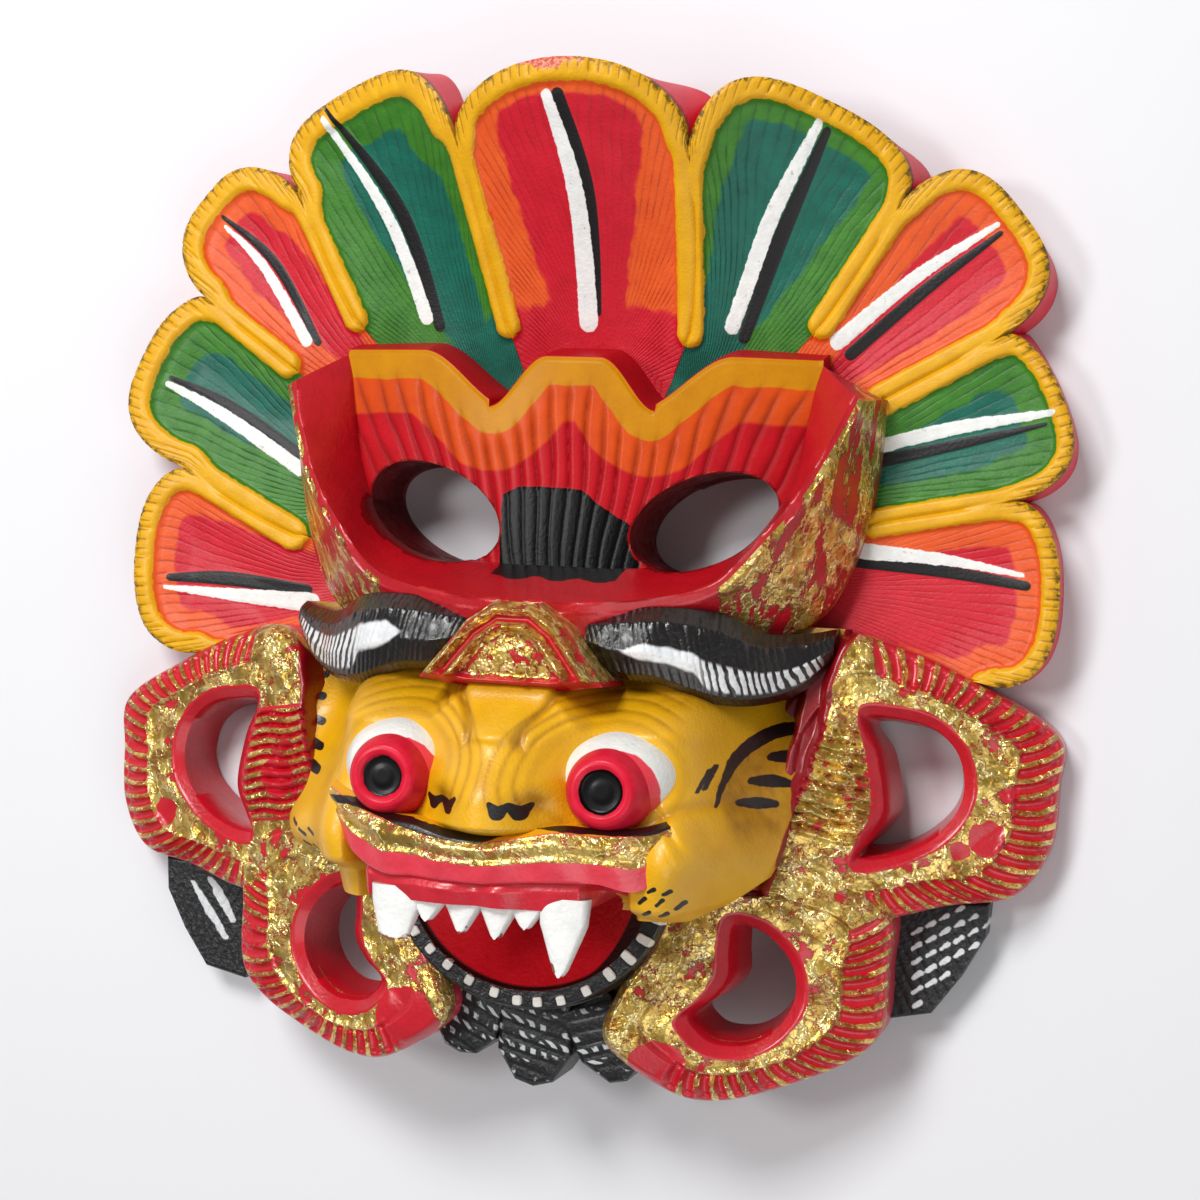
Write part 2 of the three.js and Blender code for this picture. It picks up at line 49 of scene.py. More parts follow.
level, height = np.cos(VIEW_RISE), np.sin(VIEW_RISE)
toward = Vector((np.sin(VIEW_SIDE) * level, height, np.cos(VIEW_SIDE) * level))
right = Vector((0, 1, 0)).cross(toward).normalized()
up = toward.cross(right)
across = np.cos(VIEW_ROLL) * right + np.sin(VIEW_ROLL) * up
upward = np.cos(VIEW_ROLL) * up - np.sin(VIEW_ROLL) * right
camera = bpy.data.objects.new("camera", bpy.data.cameras.new("camera"))
camera.matrix_world = Matrix((across, upward, toward)).transposed().to_4x4()
camera.location = (VIEW_TARGET + VIEW_DISTANCE * toward) * MM
camera.data.sensor_width = 36
camera.data.lens = camera.data.sensor_width * FOCAL_PIXELS / PICTURE_SIDE
camera.data.clip_start = 0.01
bpy.context.scene.collection.objects.link(camera)
bpy.context.scene.camera = camera
bpy.context.scene.view_settings.view_transform = "Standard"


# Room: a plain pale floor under the mask, a soft main lamp beyond the crown, a wide weak one below the
# beard and a small window lamp over the left. All are square and aimed at the middle of the brow.
FLOOR_HALF = 900
FLOOR_TONE = (0.66, 0.66, 0.68, 1)
SKY_STRENGTH = 0.26
LAMPS = {
    "window_lamp": {"at": (-260, 60, 560), "side": 110, "watts": 1.1},
    "key_lamp": {"at": (-160, 420, 620), "side": 240, "watts": 5.0},
    "fill_lamp": {"at": (420, -380, 520), "side": 600, "watts": 2.0},
}
floor_mesh = bpy.data.meshes.new("floor")
corners = [(-FLOOR_HALF, -FLOOR_HALF, 0), (FLOOR_HALF, -FLOOR_HALF, 0), (FLOOR_HALF, FLOOR_HALF, 0),
           (-FLOOR_HALF, FLOOR_HALF, 0)]
floor_mesh.from_pydata([Vector(corner) * MM for corner in corners], [], [(0, 1, 2, 3)])
floor = bpy.data.objects.new("floor", floor_mesh)
floor_paint = bpy.data.materials.new("floor_paint")
floor_paint.use_nodes = True
floor_paint.node_tree.nodes["Principled BSDF"].inputs["Base Color"].default_value = FLOOR_TONE
floor_paint.node_tree.nodes["Principled BSDF"].inputs["Roughness"].default_value = 0.6
floor_mesh.materials.append(floor_paint)
bpy.context.scene.collection.objects.link(floor)
for lamp_name, lamp in LAMPS.items():
    light = bpy.data.lights.new(lamp_name, "AREA")
    light.size = lamp["side"] * MM
    light.energy = lamp["watts"]
    holder = bpy.data.objects.new(lamp_name, light)
    holder.location = Vector(lamp["at"]) * MM
    holder.rotation_euler = (-Vector(lamp["at"])).to_track_quat("-Z", "Y").to_euler()
    bpy.context.scene.collection.objects.link(holder)
sky = bpy.data.worlds.new("sky")
sky.use_nodes = True
sky.node_tree.nodes["Background"].inputs["Color"].default_value = (1, 1, 1, 1)
sky.node_tree.nodes["Background"].inputs["Strength"].default_value = SKY_STRENGTH
bpy.context.scene.world = sky


# Crown: nine petals carved in low relief as one fan, leaning forward at the top. Each has a raised yellow
# border that runs inward between the petals as two fingers, cuts like a feather's barbs, and a white stroke
# shaded black.
CROWN_Y = 2.0
CROWN_INNER = 22.0
CROWN_FRONT = 9.5
CROWN_THICK = 11.0
# Each notch between petals: its angle off the crown's top, its radius and how far out its back edge flares
NOTCHES = np.array([
    (-103, 62.5, 0), (-77.2, 65.6, 1), (-56.5, 74.4, 2), (-39.2, 73, 3), (-16, 66.6, 6),
    (14.6, 64.6, 7), (39.1, 73.4, 3), (58.2, 72, 2), (77.3, 65.4, 1), (101, 63.5, 0)])
# Where the two fingers of border below each notch end: angle and radius
FINGERS = np.array([
    (-103, 58), (-83.7, 46), (-57, 57), (-44, 53), (-18.1, 39.5),
    (22.9, 40), (42, 52), (57.4, 52), (76.7, 45), (101, 61)])
FINGER_HALF = [1.2, 2.5, 2.1, 1.95, 1.9, 1.95, 2.0, 2.4, 2.1, 1.2]
# Each petal: reach, squareness, tilt, border at the tip, and the paler band at its tip, left and right
PETALS = [
    dict(reach=72, square=3, tilt=0, border=3.2, band=(3.4, 1.4, 3.4)),
    dict(reach=79, square=3, tilt=0, border=3.6, band=(4.4, 4.2, 3.2)),
    dict(reach=84.4, square=3, tilt=0, border=3.6, band=(3.2, 3.0, 2.8)),
    dict(reach=80.6, square=4.4, tilt=-2, border=3.8, band=(4.2, 4.4, 2.6)),
    dict(reach=73.4, square=2.5, tilt=0, border=3.2, band=(1.4, 4.2, 4.4)),
    dict(reach=78, square=4, tilt=1.2, border=3.0, band=(2.4, 3.2, 3.0)),
    dict(reach=83.4, square=3.6, tilt=-0.6, border=2.9, band=(3.2, 4.6, 2.8)),
    dict(reach=75.4, square=3, tilt=0, border=2.4, band=(4.2, 3.2, 3.4)),
    dict(reach=70.4, square=3, tilt=0, border=2.6, band=(3.6, 3.0, 1.0)),
]
# White strokes and the black strokes beside them, tip to base: (angle, radius), then half widths
WHITE = [
    [(-93.5, 67), (-95, 54.8), (-97.1, 43)], [(-67.9, 73.3), (-68.6, 62.4), (-71.6, 48)],
    [(-48.7, 78.9), (-48.9, 70.1), (-52.4, 56.9)], [(-31.7, 79.2), (-30.6, 62), (-33.6, 46.4)],
    [(-2.9, 68.5), (-0.4, 56), (-0.1, 38.4)], [(27.1, 74.5), (27.0, 60), (29.5, 43.7)],
    [(47.9, 79.6), (46.3, 67.1), (45.6, 51.9)], [(68.3, 73.1), (65.8, 59.9), (63, 45)],
    [(86.6, 65.3), (84.1, 54.4), (81.5, 42.8)],
]
BLACK = [
    [(-92.2, 66.2), (-92.3, 56.8), (-94.5, 43.5)], [(-67.1, 73.3), (-67.0, 62.5), (-69.4, 48)],
    [(-48.1, 80.2), (-47.5, 69), (-51.4, 55.4)], [(-30.9, 80.3), (-28.4, 61.8), (-32.2, 44.2)],
    [(-1.5, 68.4), (1.5, 56), (2.4, 39.5)], [(28.2, 74.2), (29.4, 58), (32.4, 43.4)],
    [(48.8, 79.2), (48.2, 67), (48.4, 52.1)], [(69.3, 71.8), (68, 59.1), (65.5, 45)],
    [(87.9, 65.6), (85.9, 54.4), (83.4, 41.2)],
]
STROKE_HALF = [
    [(0.3, 1.0, 1.5), (0.6, 1.1, 0.9)], [(0.5, 1.0, 1.1), (0.4, 0.9, 0.9)],
    [(0.3, 0.75, 0.9), (0.3, 0.8, 0.6)], [(0.5, 0.95, 1.1), (0.3, 1.1, 0.9)],
    [(0.8, 1.25, 1.45), (1.0, 1.0, 0.3)], [(0.6, 1.1, 1.05), (0.6, 1.1, 0.9)],
    [(0.4, 0.9, 1.15), (0.4, 0.85, 0.9)], [(0.5, 0.95, 1.0), (0.3, 0.8, 1.0)],
    [(0.3, 0.8, 1.2), (0.7, 0.9, 0.8)],
]
PETAL_COLUMNS = 80
PETAL_ROWS = 100
ARCH_POWER = 0.62
BAND_ROOT = 20.0
HEART_FOOT = 41.5
BARB_STEP = np.radians(2.3)
BARB_ROOT = 26.0
BARB_BEND = 32.0
BORDER_RISE = 1.0
CUT_STEP = 1.5
SHARP_FROM = np.radians(50)
# Two slanting oval sight holes go through crown, recess and rim; a notch in the back takes the nail
SIGHT_HOLE = dict(x=20.3, y=11.2, long=11.0, short=6.6, turn=np.radians(22))
NOTCH = dict(y=27.0, wide=9.0, tall=6.0, depth=6.0)


def smooth(value, low, high):
    """Ease from 0 to 1 as the value goes from low to high: 3 t squared minus 2 t cubed."""
    t = np.clip((value - low) / (high - low), 0, 1)
    return t * t * (3 - 2 * t)


def bump(distance, radius):
    """A bell of height 1: e to the minus squared distance over squared radius."""
    return np.exp(-(distance / radius) ** 2)


def waves(turns):
    """|sin| of half a turn a unit: 0 at each whole number, 1 half way between them."""
    return np.abs(np.sin(np.pi * turns))


def soft_least(values, blend):
    """The least of several fields, corners rounded: minus blend times the log of summed exponentials."""
    total = sum(np.exp(-np.asarray(value) / blend) for value in values)
    return -blend * np.log(total)


def drawn_through(points, count, closed=False):
    """A smooth path: between each two listed points a cubic whose slope at a point is half the step between
    its neighbours, read at even steps of the list."""
    points = np.asarray(points, float)
    number = len(points)
    u = np.arange(count) * number / count if closed else np.linspace(0, number - 1, count)
    i = np.minimum(u.astype(int), number - 1 if closed else number - 2)
    t = (u - i)[:, None]

    def listed(j):
        """The listed points at those places, going round or stopping at the ends."""
        return points[j % number] if closed else points[np.clip(j, 0, number - 1)]

    a, b, c, d = listed(i - 1), listed(i), listed(i + 1), listed(i + 2)
    square, cube = 2 * a - 5 * b + 4 * c - d, 3 * b - a - 3 * c + d
    return 0.5 * (2 * b + (c - a) * t + square * t ** 2 + cube * t ** 3)


def distance_to(x, y, path, half=0):
    """Distance from each (x, y) to the nearest straight piece of a path, less its half width there."""
    path = np.asarray(path, float)
    half = np.broadcast_to(half, len(path))
    nearest = np.full(np.shape(x), 1e9)
    for (ax, ay), (bx, by), start, end in zip(path[:-1], path[1:], half[:-1], half[1:]):
        length = (bx - ax) ** 2 + (by - ay) ** 2 + 1e-9
        t = np.clip(((x - ax) * (bx - ax) + (y - ay) * (by - ay)) / length, 0, 1)
        gap = np.hypot(x - ax - t * (bx - ax), y - ay - t * (by - ay)) - (start + t * (end - start))
        nearest = np.minimum(nearest, gap)
    return nearest


def run_along(path):
    """The distance walked along a path's x and y, as a column."""
    return np.concatenate([[0], np.cumsum(np.hypot(*np.diff(path[:, :2], axis=0).T))])[:, None]


def spots(x, y, z):
    """Points from three coordinates, each of which may be a grid, a row, a column or one number."""
    return np.stack(np.broadcast_arrays(x, y, z), axis=-1)


def carve(name, sections, marks, ends_meet=False):
    """A closed piece: sections are closed outlines of equal count, with quads between neighbouring
    sections. The last section meets the first, or else a flat face closes each end. Marks are one number a
    point, read by the paint: one field, or a field for the front with the numbers for the walls and back
    that follow it."""
    count, around = sections.shape[:2]
    ids = np.arange(count * around).reshape(count, around)
    near = ids if ends_meet else ids[:-1]
    far = np.roll(ids, -1, axis=0) if ends_meet else ids[1:]
    quads = np.stack([near, far, np.roll(far, -1, axis=1), np.roll(near, -1, axis=1)], axis=-1)
    quads = quads.reshape(-1, 4)
    points = sections.reshape(-1, 3)
    a, b, c, d = (points[quads[:, k]] for k in range(4))
    volume = np.einsum("ij,ij->", a, np.cross(b, c)) + np.einsum("ij,ij->", a, np.cross(c, d))
    if not ends_meet:
        for end, way in ((ids[0], 1), (ids[-1], -1)):
            fan = points[end] - points[end].mean(axis=0)
            turn = np.cross(fan, np.roll(fan, -1, axis=0)).sum(axis=0)
            volume += way * np.dot(points[end].mean(axis=0), turn)
    faces = quads.tolist()
    if not ends_meet:
        faces += [ids[0].tolist(), ids[-1][::-1].tolist()]
    if volume < 0:
        faces = [face[::-1] for face in faces]
    mesh = bpy.data.meshes.new(name)
    mesh.from_pydata(points * MM, [], faces)
    for mark, values in marks.items():
        if isinstance(values, tuple):
            front, beyond = values
            values = np.hstack([front, np.broadcast_to(beyond, (count, around - front.shape[1]))])
        values = np.broadcast_to(values, (count, around)).astype(np.float32)
        mesh.attributes.new(mark, "FLOAT", "POINT").data.foreach_set("value", values.ravel())
    mesh.shade_smooth()
    mesh.set_sharp_from_angle(angle=SHARP_FROM)
    piece = bpy.data.objects.new(name, mesh)
    bpy.context.scene.collection.objects.link(piece)
    return piece


def join_to_mask(piece, finish):
    """Gives a piece its paint and sets it on the carved block that it is part of."""
    piece.data.materials.append(finish)
    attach(piece, "root")
    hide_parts("mask")


def tint(shares):
    """A colour as light: each share of 255 raised to the power 2.2."""
    return [(share / 255) ** 2.2 for share in shares] + [1]


class Field:
    """A value that varies over a painted surface: plain arithmetic on it adds math nodes to its paint."""

    def __init__(self, paint, socket):
        self.paint = paint
        self.socket = socket

    def __add__(self, other):
        return self.paint.math("ADD", self, other)

    def __sub__(self, other):
        return self.paint.math("SUBTRACT", self, other)

    def __rsub__(self, other):
        return self.paint.math("SUBTRACT", other, self)

    def __mul__(self, other):
        return self.paint.math("MULTIPLY", self, other)

    def __pow__(self, other):
        return self.paint.math("POWER", self, other)

    def __neg__(self):
        return self * -1

    def __abs__(self):
        return self.paint.math("ABSOLUTE", self)


class Paint:
    """One finish, laid coat by coat: each method adds shader nodes and gives what they put out. Colours are
    written as red, green and blue shares of 255."""

    def __init__(self, name, roughness=0.4, coat=0.0, shine=0.5):
        self.material = bpy.data.materials.new(name)
        self.material.use_nodes = True
        self.tree = self.material.node_tree
        self.shader = self.tree.nodes["Principled BSDF"]
        for socket, value in (("Roughness", roughness), ("Coat Weight", coat), ("Coat Roughness", 0.16),
                              ("Specular IOR Level", shine)):
            self.shader.inputs[socket].default_value = value
        self.place = Field(self, self.tree.nodes.new("ShaderNodeTexCoord").outputs["Object"])

    def node(self, kind, output, inputs, **settings):
        """A node with its settings and inputs, each a field, a colour or a number."""
        node = self.tree.nodes.new(kind)
        for setting, value in settings.items():
            setattr(node, setting, value)
        for socket, value in inputs.items():
            self.wire(node.inputs[socket], value)
        return Field(self, node.outputs[output])

    def wire(self, socket, value):
        """Links a field to a socket, or sets a colour or a number on it."""
        if isinstance(value, Field):
            self.tree.links.new(value.socket, socket)
        else:
            socket.default_value = tint(value) if socket.type == "RGBA" else value

    def feed(self, socket, value):
        """Gives a value to the finish itself."""
        self.wire(self.shader.inputs[socket], value)

    def mark(self, name):
        """The number that the carving left on the surface under that name."""
        return self.node("ShaderNodeAttribute", "Fac", {}, attribute_name=name)

    def math(self, how, *values):
        """One step of arithmetic, under the math node's own name for it."""
        return self.node("ShaderNodeMath", 0, dict(enumerate(values)), operation=how)

    def wave(self, turns):
        """|sin| of half a turn a unit: 0 at each whole number, 1 half way between them."""
        return abs(self.math("SINE", turns * np.pi))

    def grain(self, per_mm, detail=3.0, stretch=(1, 1, 1), sharp=0.55):
        """Uneven noise with that many grains in a millimetre, drawn out along an axis."""
        scale = [per_mm / MM / share for share in stretch]
        place = self.node("ShaderNodeMapping", "Vector", {"Vector": self.place, "Scale": scale})
        return self.node("ShaderNodeTexNoise", "Fac", {
            "Vector": place, "Scale": 1, "Detail": detail, "Roughness": sharp})

    def past(self, value, edge, soft=0.06):
        """0 below the edge and 1 past it, with a soft step."""
        return self.node("ShaderNodeMapRange", "Result", {
            "Value": value, "From Min": edge - soft, "From Max": edge + soft},
            interpolation_type="SMOOTHSTEP")

    def over(self, amount, under, top):
        """The top coat laid over the under coat where amount is 1."""
        return self.node("ShaderNodeMix", 2, {0: amount, 6: under, 7: top}, data_type="RGBA")

    def level(self, amount, under, top):
        """One number blended into another where amount is 1."""
        return self.node("ShaderNodeMix", 0, {0: amount, 2: under, 3: top}, data_type="FLOAT")

    def uneven(self, value, reach, per_mm=0.5):
        """A field whose contours wander by up to reach, as a hand-held brush does."""
        return (self.grain(per_mm, 2.0) - 0.5) * (2 * reach) + value

    def away_from(self, x, y):
        """Distance from an upright line through the point (x, y)."""
        off_x, off_y = (self.node("ShaderNodeSeparateXYZ", axis, {0: self.place}) * (1 / MM) - at
                        for axis, at in (("X", x), ("Y", y)))
        return (off_x * off_x + off_y * off_y) ** 0.5

    def emboss(self, height, depth_mm):
        """Fine relief in the light alone: height 1 stands that far proud."""
        self.feed("Normal", self.node("ShaderNodeBump", "Normal", {
            "Strength": 1, "Distance": depth_mm * MM, "Height": height}))


def pierce(piece, cutters):
    """Cuts closed pieces out of another and removes them, then marks the walls of the cuts."""
    for cutter in cutters:
        cut = piece.modifiers.new("cut", "BOOLEAN")
        cut.solver = "MANIFOLD"
        cut.operation = "DIFFERENCE"
        cut.object = cutter
        mesh = bpy.data.meshes.new_from_object(piece.evaluated_get(bpy.context.evaluated_depsgraph_get()))
        piece.modifiers.clear()
        mesh.materials.clear()
        piece.data = mesh
        bpy.data.objects.remove(cutter)
    mesh.shade_smooth()
    mesh.set_sharp_from_angle(angle=SHARP_FROM)
    places = np.empty(3 * len(mesh.vertices), np.float32)
    mesh.vertices.foreach_get("co", places)
    x, y, z = places.reshape(-1, 3).T / MM
    off_x, off_y = np.abs(x) - SIGHT_HOLE["x"], y - SIGHT_HOLE["y"]
    c, s = np.cos(SIGHT_HOLE["turn"]), np.sin(SIGHT_HOLE["turn"])
    along, across = off_x * c + off_y * s, off_y * c - off_x * s
    on_hole = np.hypot(along / SIGHT_HOLE["long"], across / SIGHT_HOLE["short"]) < 1.03
    on_notch = (np.abs(x) < NOTCH["wide"] / 2 + 0.05) & (np.abs(y - NOTCH["y"]) < NOTCH["tall"] / 2 + 0.05)
    on_notch &= z < NOTCH["depth"] + 0.05
    marked = np.empty(len(mesh.vertices), np.float32)
    mesh.attributes["hole"].data.foreach_get("value", marked)
    marked[on_hole | on_notch] = 1
    mesh.attributes["hole"].data.foreach_set("value", marked)


def sight_hole(side):
    """An upright oval post as wide as one sight hole."""
    around = np.linspace(0, 2 * np.pi, 120, endpoint=False)
    height = np.array([-5.0, 3.0, 10.0, 16.0, 24.0, 50.0])[:, None]
    along, across = SIGHT_HOLE["long"] * np.cos(around), SIGHT_HOLE["short"] * np.sin(around)
    c, s = np.cos(SIGHT_HOLE["turn"]), np.sin(SIGHT_HOLE["turn"])
    x = side * (SIGHT_HOLE["x"] + along * c - across * s)
    return carve("post", spots(x, SIGHT_HOLE["y"] + along * s + across * c, height), {"hole": 1})


def nail_notch(spare):
    """A small block that cuts the notch for the nail into the back, larger all round by the spare."""
    x = (NOTCH["wide"] / 2 + spare) * np.array([-1, 1, 1, -1])
    y = NOTCH["y"] + (NOTCH["tall"] / 2 + spare) * np.array([-1, -1, 1, 1])
    return carve("post", spots(x, y, (NOTCH["depth"] + spare) * np.array([[-1], [1]])), {"hole": 1})


def crown_lean(angle, radius):
    """How far the fan leans forward, most at the top of the middle petal."""
    return 20 * bump(angle, 28) * smooth(radius, 28, 78)


def outward(angle, radius):
    """The place at an angle and radius off the crown's top, x and y as the last axis."""
    turn = np.radians(angle)
    return np.stack([radius * np.sin(turn), CROWN_Y + radius * np.cos(turn)], axis=-1)


def crown_piece():
    """The fan: along each petal's spokes the radius runs from the inner edge to the petal's arch, an arch
    being low + (high - low) (1 - |t| ^ square) ^ power between two notches. Height adds the lean, border,
    dish and cuts."""
    petals = len(PETALS)
    column = np.arange(petals * PETAL_COLUMNS + 1)
    k = np.minimum(column // PETAL_COLUMNS, petals - 1)
    t = 2 * (column - k * PETAL_COLUMNS) / PETAL_COLUMNS - 1
    share = (t + 1) / 2
    along = np.linspace(0, 1, PETAL_ROWS) ** 0.85
    listed = {key: np.array([petal[key] for petal in PETALS])[k] for key in ("reach", "square", "tilt")}
    low = NOTCHES[k, 1] * (1 - share) + NOTCHES[k + 1, 1] * share
    high = listed["reach"] + listed["tilt"] * t - 0.05
    reach = low + (high - low) * (1 - np.abs(t) ** listed["square"]) ** ARCH_POWER
    radius = CROWN_INNER + (reach - CROWN_INNER)[:, None] * along

    def division(j):
        """Angle of the line between petals, turning from the finger's end to the notch."""
        climb = np.clip((radius - FINGERS[j, 1][:, None]) / (NOTCHES[j, 1] - FINGERS[j, 1])[:, None], 0, 1)
        return FINGERS[j, 0][:, None] * (1 - climb) + NOTCHES[j, 0][:, None] * climb

    left, right = division(k), division(k + 1)
    angle = left + (right - left) * share[:, None]
    place = outward(angle, radius)
    x, y = place[..., 0], place[..., 1]
    border, core, white, black, barb, cut, arch_gap = (np.zeros_like(x) for _ in range(7))
    for i, petal in enumerate(PETALS):
        here = np.where(k == i)[0]
        px, py = x[here], y[here]
        arch = outward(angle[here, -1], reach[here])
        gap = distance_to(px, py, arch)
        tip = gap - petal["border"]
        tip_band, *side_bands = petal["band"]
        fingers, bands = [tip], [tip - tip_band]
        for j, band in zip((i, i + 1), side_bands):
            angles, radii = np.transpose([FINGERS[j], NOTCHES[j, :2]])
            fingers.append(distance_to(px, py, outward(angles, radii)) - FINGER_HALF[j])
            radii[0] = BAND_ROOT
            bands.append(distance_to(px, py, outward(angles, radii)) - FINGER_HALF[j] - band)
        border[here] = soft_least(fingers, 0.7)
        core[here] = soft_least(bands, 0.9)
        for field, strokes, halves in ((white, WHITE, 0), (black, BLACK, 1)):
            angles, radii = np.transpose(strokes[i])
            line = drawn_through(np.column_stack([outward(angles, radii), STROKE_HALF[i][halves]]), 14)
            field[here] = distance_to(px, py, line[:, :2], line[:, 2])
        middle = (left[here] + right[here]) / 2
        side = np.radians(angle[here] - middle) * radius[here]
        half = np.radians(right[here] - left[here]) * radius[here] / 2
        curled = side * (1 + 0.3 * (side / half) ** 2)
        climb = np.maximum(radius[here] - BARB_ROOT, 6) / BARB_BEND
        barb[here] = np.arctan2(curled, BARB_BEND * climb ** 1.4) / BARB_STEP
        cut[here] = run_along(arch) / CUT_STEP
        arch_gap[here] = gap
    inside = smooth(border, -0.5, 0.5)
    ridge = 0.14 * (1 - np.clip((border + 1.2) / 1.2, -1, 1) ** 2) * (1 - inside)
    nicks = 0.3 * (1 - waves(cut + 0.3 * np.sin(cut * 1.7))) ** 3 * (1 - inside)
    nicks *= smooth(2.9 + 0.8 * np.sin(cut * 2.3) - arch_gap, 0, 1.4)
    dish = BORDER_RISE * inside + 0.8 * smooth(border, 0, 7) * inside
    stroke = 0.1 * smooth(-np.minimum(white, black), -0.05, 0.25)
    uneven = 0.12 * np.sin(x * 0.55 + 2 * np.sin(y * 0.3)) * (1 - inside)
    edge_round = 0.5 * (1 - smooth(arch_gap, 0, 0.7)) + uneven
    z = CROWN_FRONT - 0.1 + crown_lean(angle, radius) - dish + ridge - nicks + stroke - edge_round
    split = np.minimum(*(np.abs(np.radians(angle - side_angle)) * radius for side_angle in (left, right)))
    z -= 0.5 * bump(split, 0.3) * (1 - inside) * smooth(arch_gap, 4, 9)
    front = spots(x, y, z)
    flare = (NOTCHES[k, 2] * (1 - share) + NOTCHES[k + 1, 2] * share) * np.abs(t) ** 3
    back_along = np.array([1, 0.75, 0.5, 0.25, 0])
    back_radius = CROWN_INNER + (reach + flare - CROWN_INNER)[:, None] * back_along
    back_angle = angle[:, [-1]]
    back_z = np.maximum(0, CROWN_FRONT + crown_lean(back_angle, back_radius) - CROWN_THICK)
    back = np.concatenate([outward(back_angle, back_radius), back_z[..., None]], axis=-1)
    fall = np.linspace(0, 1, 8)[1:-1, None]
    wall = front[:, None, -1] * (1 - fall) + back[:, None, 0] * fall
    wall += 0.12 * np.sin(column * 0.9)[:, None, None] * np.sin(np.pi * fall) * np.array([0, 0, 1])
    down = np.concatenate([np.linspace(0, CROWN_THICK, 8)[1:-1], np.full(5, CROWN_THICK)])
    return carve("crown", np.concatenate([front, wall, back], axis=1), {
        "border": (border, -1), "core": (core, -9), "white": (white, 9), "black": (black, 9),
        "barb": (barb, 0), "cut": (cut, 0), "green": (k % 2)[:, None], "edge": (-arch_gap, down),
        "foot": (radius, 60), "hole": 0, "worn": (1 - np.hypot((x + 3.2) / 6.5, (y - 75.6) / 2.4), -1)})


def crown_paint():
    """Yellow border, orange or green band, crimson or teal core, white and black strokes, and red round the
    edge. Fine feather cuts, darker along their lines, lie in the petals, and the top of the middle petal is
    worn."""
    paint = Paint("crown_paint", roughness=0.36, coat=0.05, shine=0.35)
    soft = paint.grain(0.35, 3)
    fine = paint.grain(2.2, 4)
    border = paint.uneven(paint.mark("border"), 0.35, 0.7)
    core = paint.uneven(paint.mark("core"), 0.9, 0.3)
    below_heart = (HEART_FOOT - paint.mark("foot")) * 0.55
    core = paint.math("MAXIMUM", core, paint.uneven(below_heart, 0.8, 0.4))
    green = paint.past(paint.mark("green"), 0.5, 0.1)
    band = paint.over(green, paint.over(soft, (196, 66, 24), (222, 92, 34)),
                      paint.over(soft, (28, 84, 18), (66, 128, 34)))
    heart = paint.over(green, paint.over(soft, (168, 12, 30), (200, 26, 48)),
                       paint.over(soft, (0, 70, 58), (8, 104, 86)))
    inner = paint.over(paint.past(core, 0, 0.35), band, heart)
    barb = paint.uneven(paint.mark("barb"), 0.3, 0.18)
    barb_line = (1 - paint.wave(barb)) ** 2.2
    barb_line = barb_line * paint.level(paint.past(paint.grain(0.28, 5), 0.5, 0.2), 0.25, 0.9)
    barb_line = barb_line * paint.past(border, 0.5, 0.5)
    barb_line = barb_line * paint.level(paint.past(border, 6.5, 4), 1, 0.45)
    strokes = paint.math("MINIMUM", paint.mark("white"), paint.mark("black"))
    barb_line = barb_line * paint.past(strokes, 0.2, 0.2)
    inner = paint.over(barb_line * 0.5, inner, paint.over(green, (112, 10, 16), (2, 38, 26)))
    yellow = paint.over(soft, (196, 138, 4), (222, 168, 10))
    near_edge = paint.past(paint.uneven(paint.mark("edge"), 1.4, 0.6), -2.2, 0.9)
    cut_line = (1 - paint.wave(paint.mark("cut"))) * near_edge
    yellow = paint.over(paint.past(cut_line, 0.72, 0.14) * 0.6, yellow, (120, 78, 10))
    rubbed = paint.past(paint.grain(0.8, 5, sharp=0.7), 0.53, 0.05)
    yellow = paint.over(rubbed * paint.past(paint.mark("edge"), -0.7, 0.5) * 0.85, yellow, (60, 48, 16))
    chips = paint.past(paint.uneven(paint.mark("worn"), 1.0, 0.6), 0.25, 0.05)
    bare_wood = paint.over(paint.past(fine, 0.5, 0.1), (176, 70, 40), (214, 130, 110))
    yellow = paint.over(chips, yellow, bare_wood)
    coat = paint.over(paint.past(border, 0, 0.1), yellow, inner)
    coat = paint.over(paint.past(-paint.mark("black"), 0, 0.08), coat, (20, 18, 20))
    chalk = paint.over(paint.grain(0.7, 4), (196, 198, 196), (236, 236, 232))
    pits = paint.past(paint.grain(0.8, 6, sharp=0.75), 0.64, 0.02)
    chalk = paint.over(pits * 0.55, chalk, (110, 108, 104))
    white = paint.uneven(paint.mark("white"), 0.22, 1.1)
    coat = paint.over(paint.past(-white, 0, 0.08), coat, chalk)
    edge = paint.uneven(paint.mark("edge"), 0.5, 0.5)
    rose = paint.over(soft, (196, 26, 48), (226, 48, 72))
    coat = paint.over(paint.past(edge, 0.5, 0.15), coat, paint.over(green, (150, 60, 20), (40, 90, 50)))
    coat = paint.over(paint.past(edge, 0.95, 0.2), coat, rose)
    # The walls of the sight holes and the nail notch: red laid darker, painted shade in the cuts.
    coat = paint.over(paint.past(paint.mark("hole"), 0.5), coat, (140, 10, 22))
    paint.feed("Base Color", coat)
    paint.feed("Roughness", paint.level(fine, 0.4, 0.56))
    paint.emboss(barb_line * -0.6 + fine * 0.4 - cut_line * 0.3, 0.2)
    return paint.material


crown = crown_piece()
pierce(crown, (sight_hole(-1), sight_hole(1), nail_notch(0.0)))
join_to_mask(crown, crown_paint())


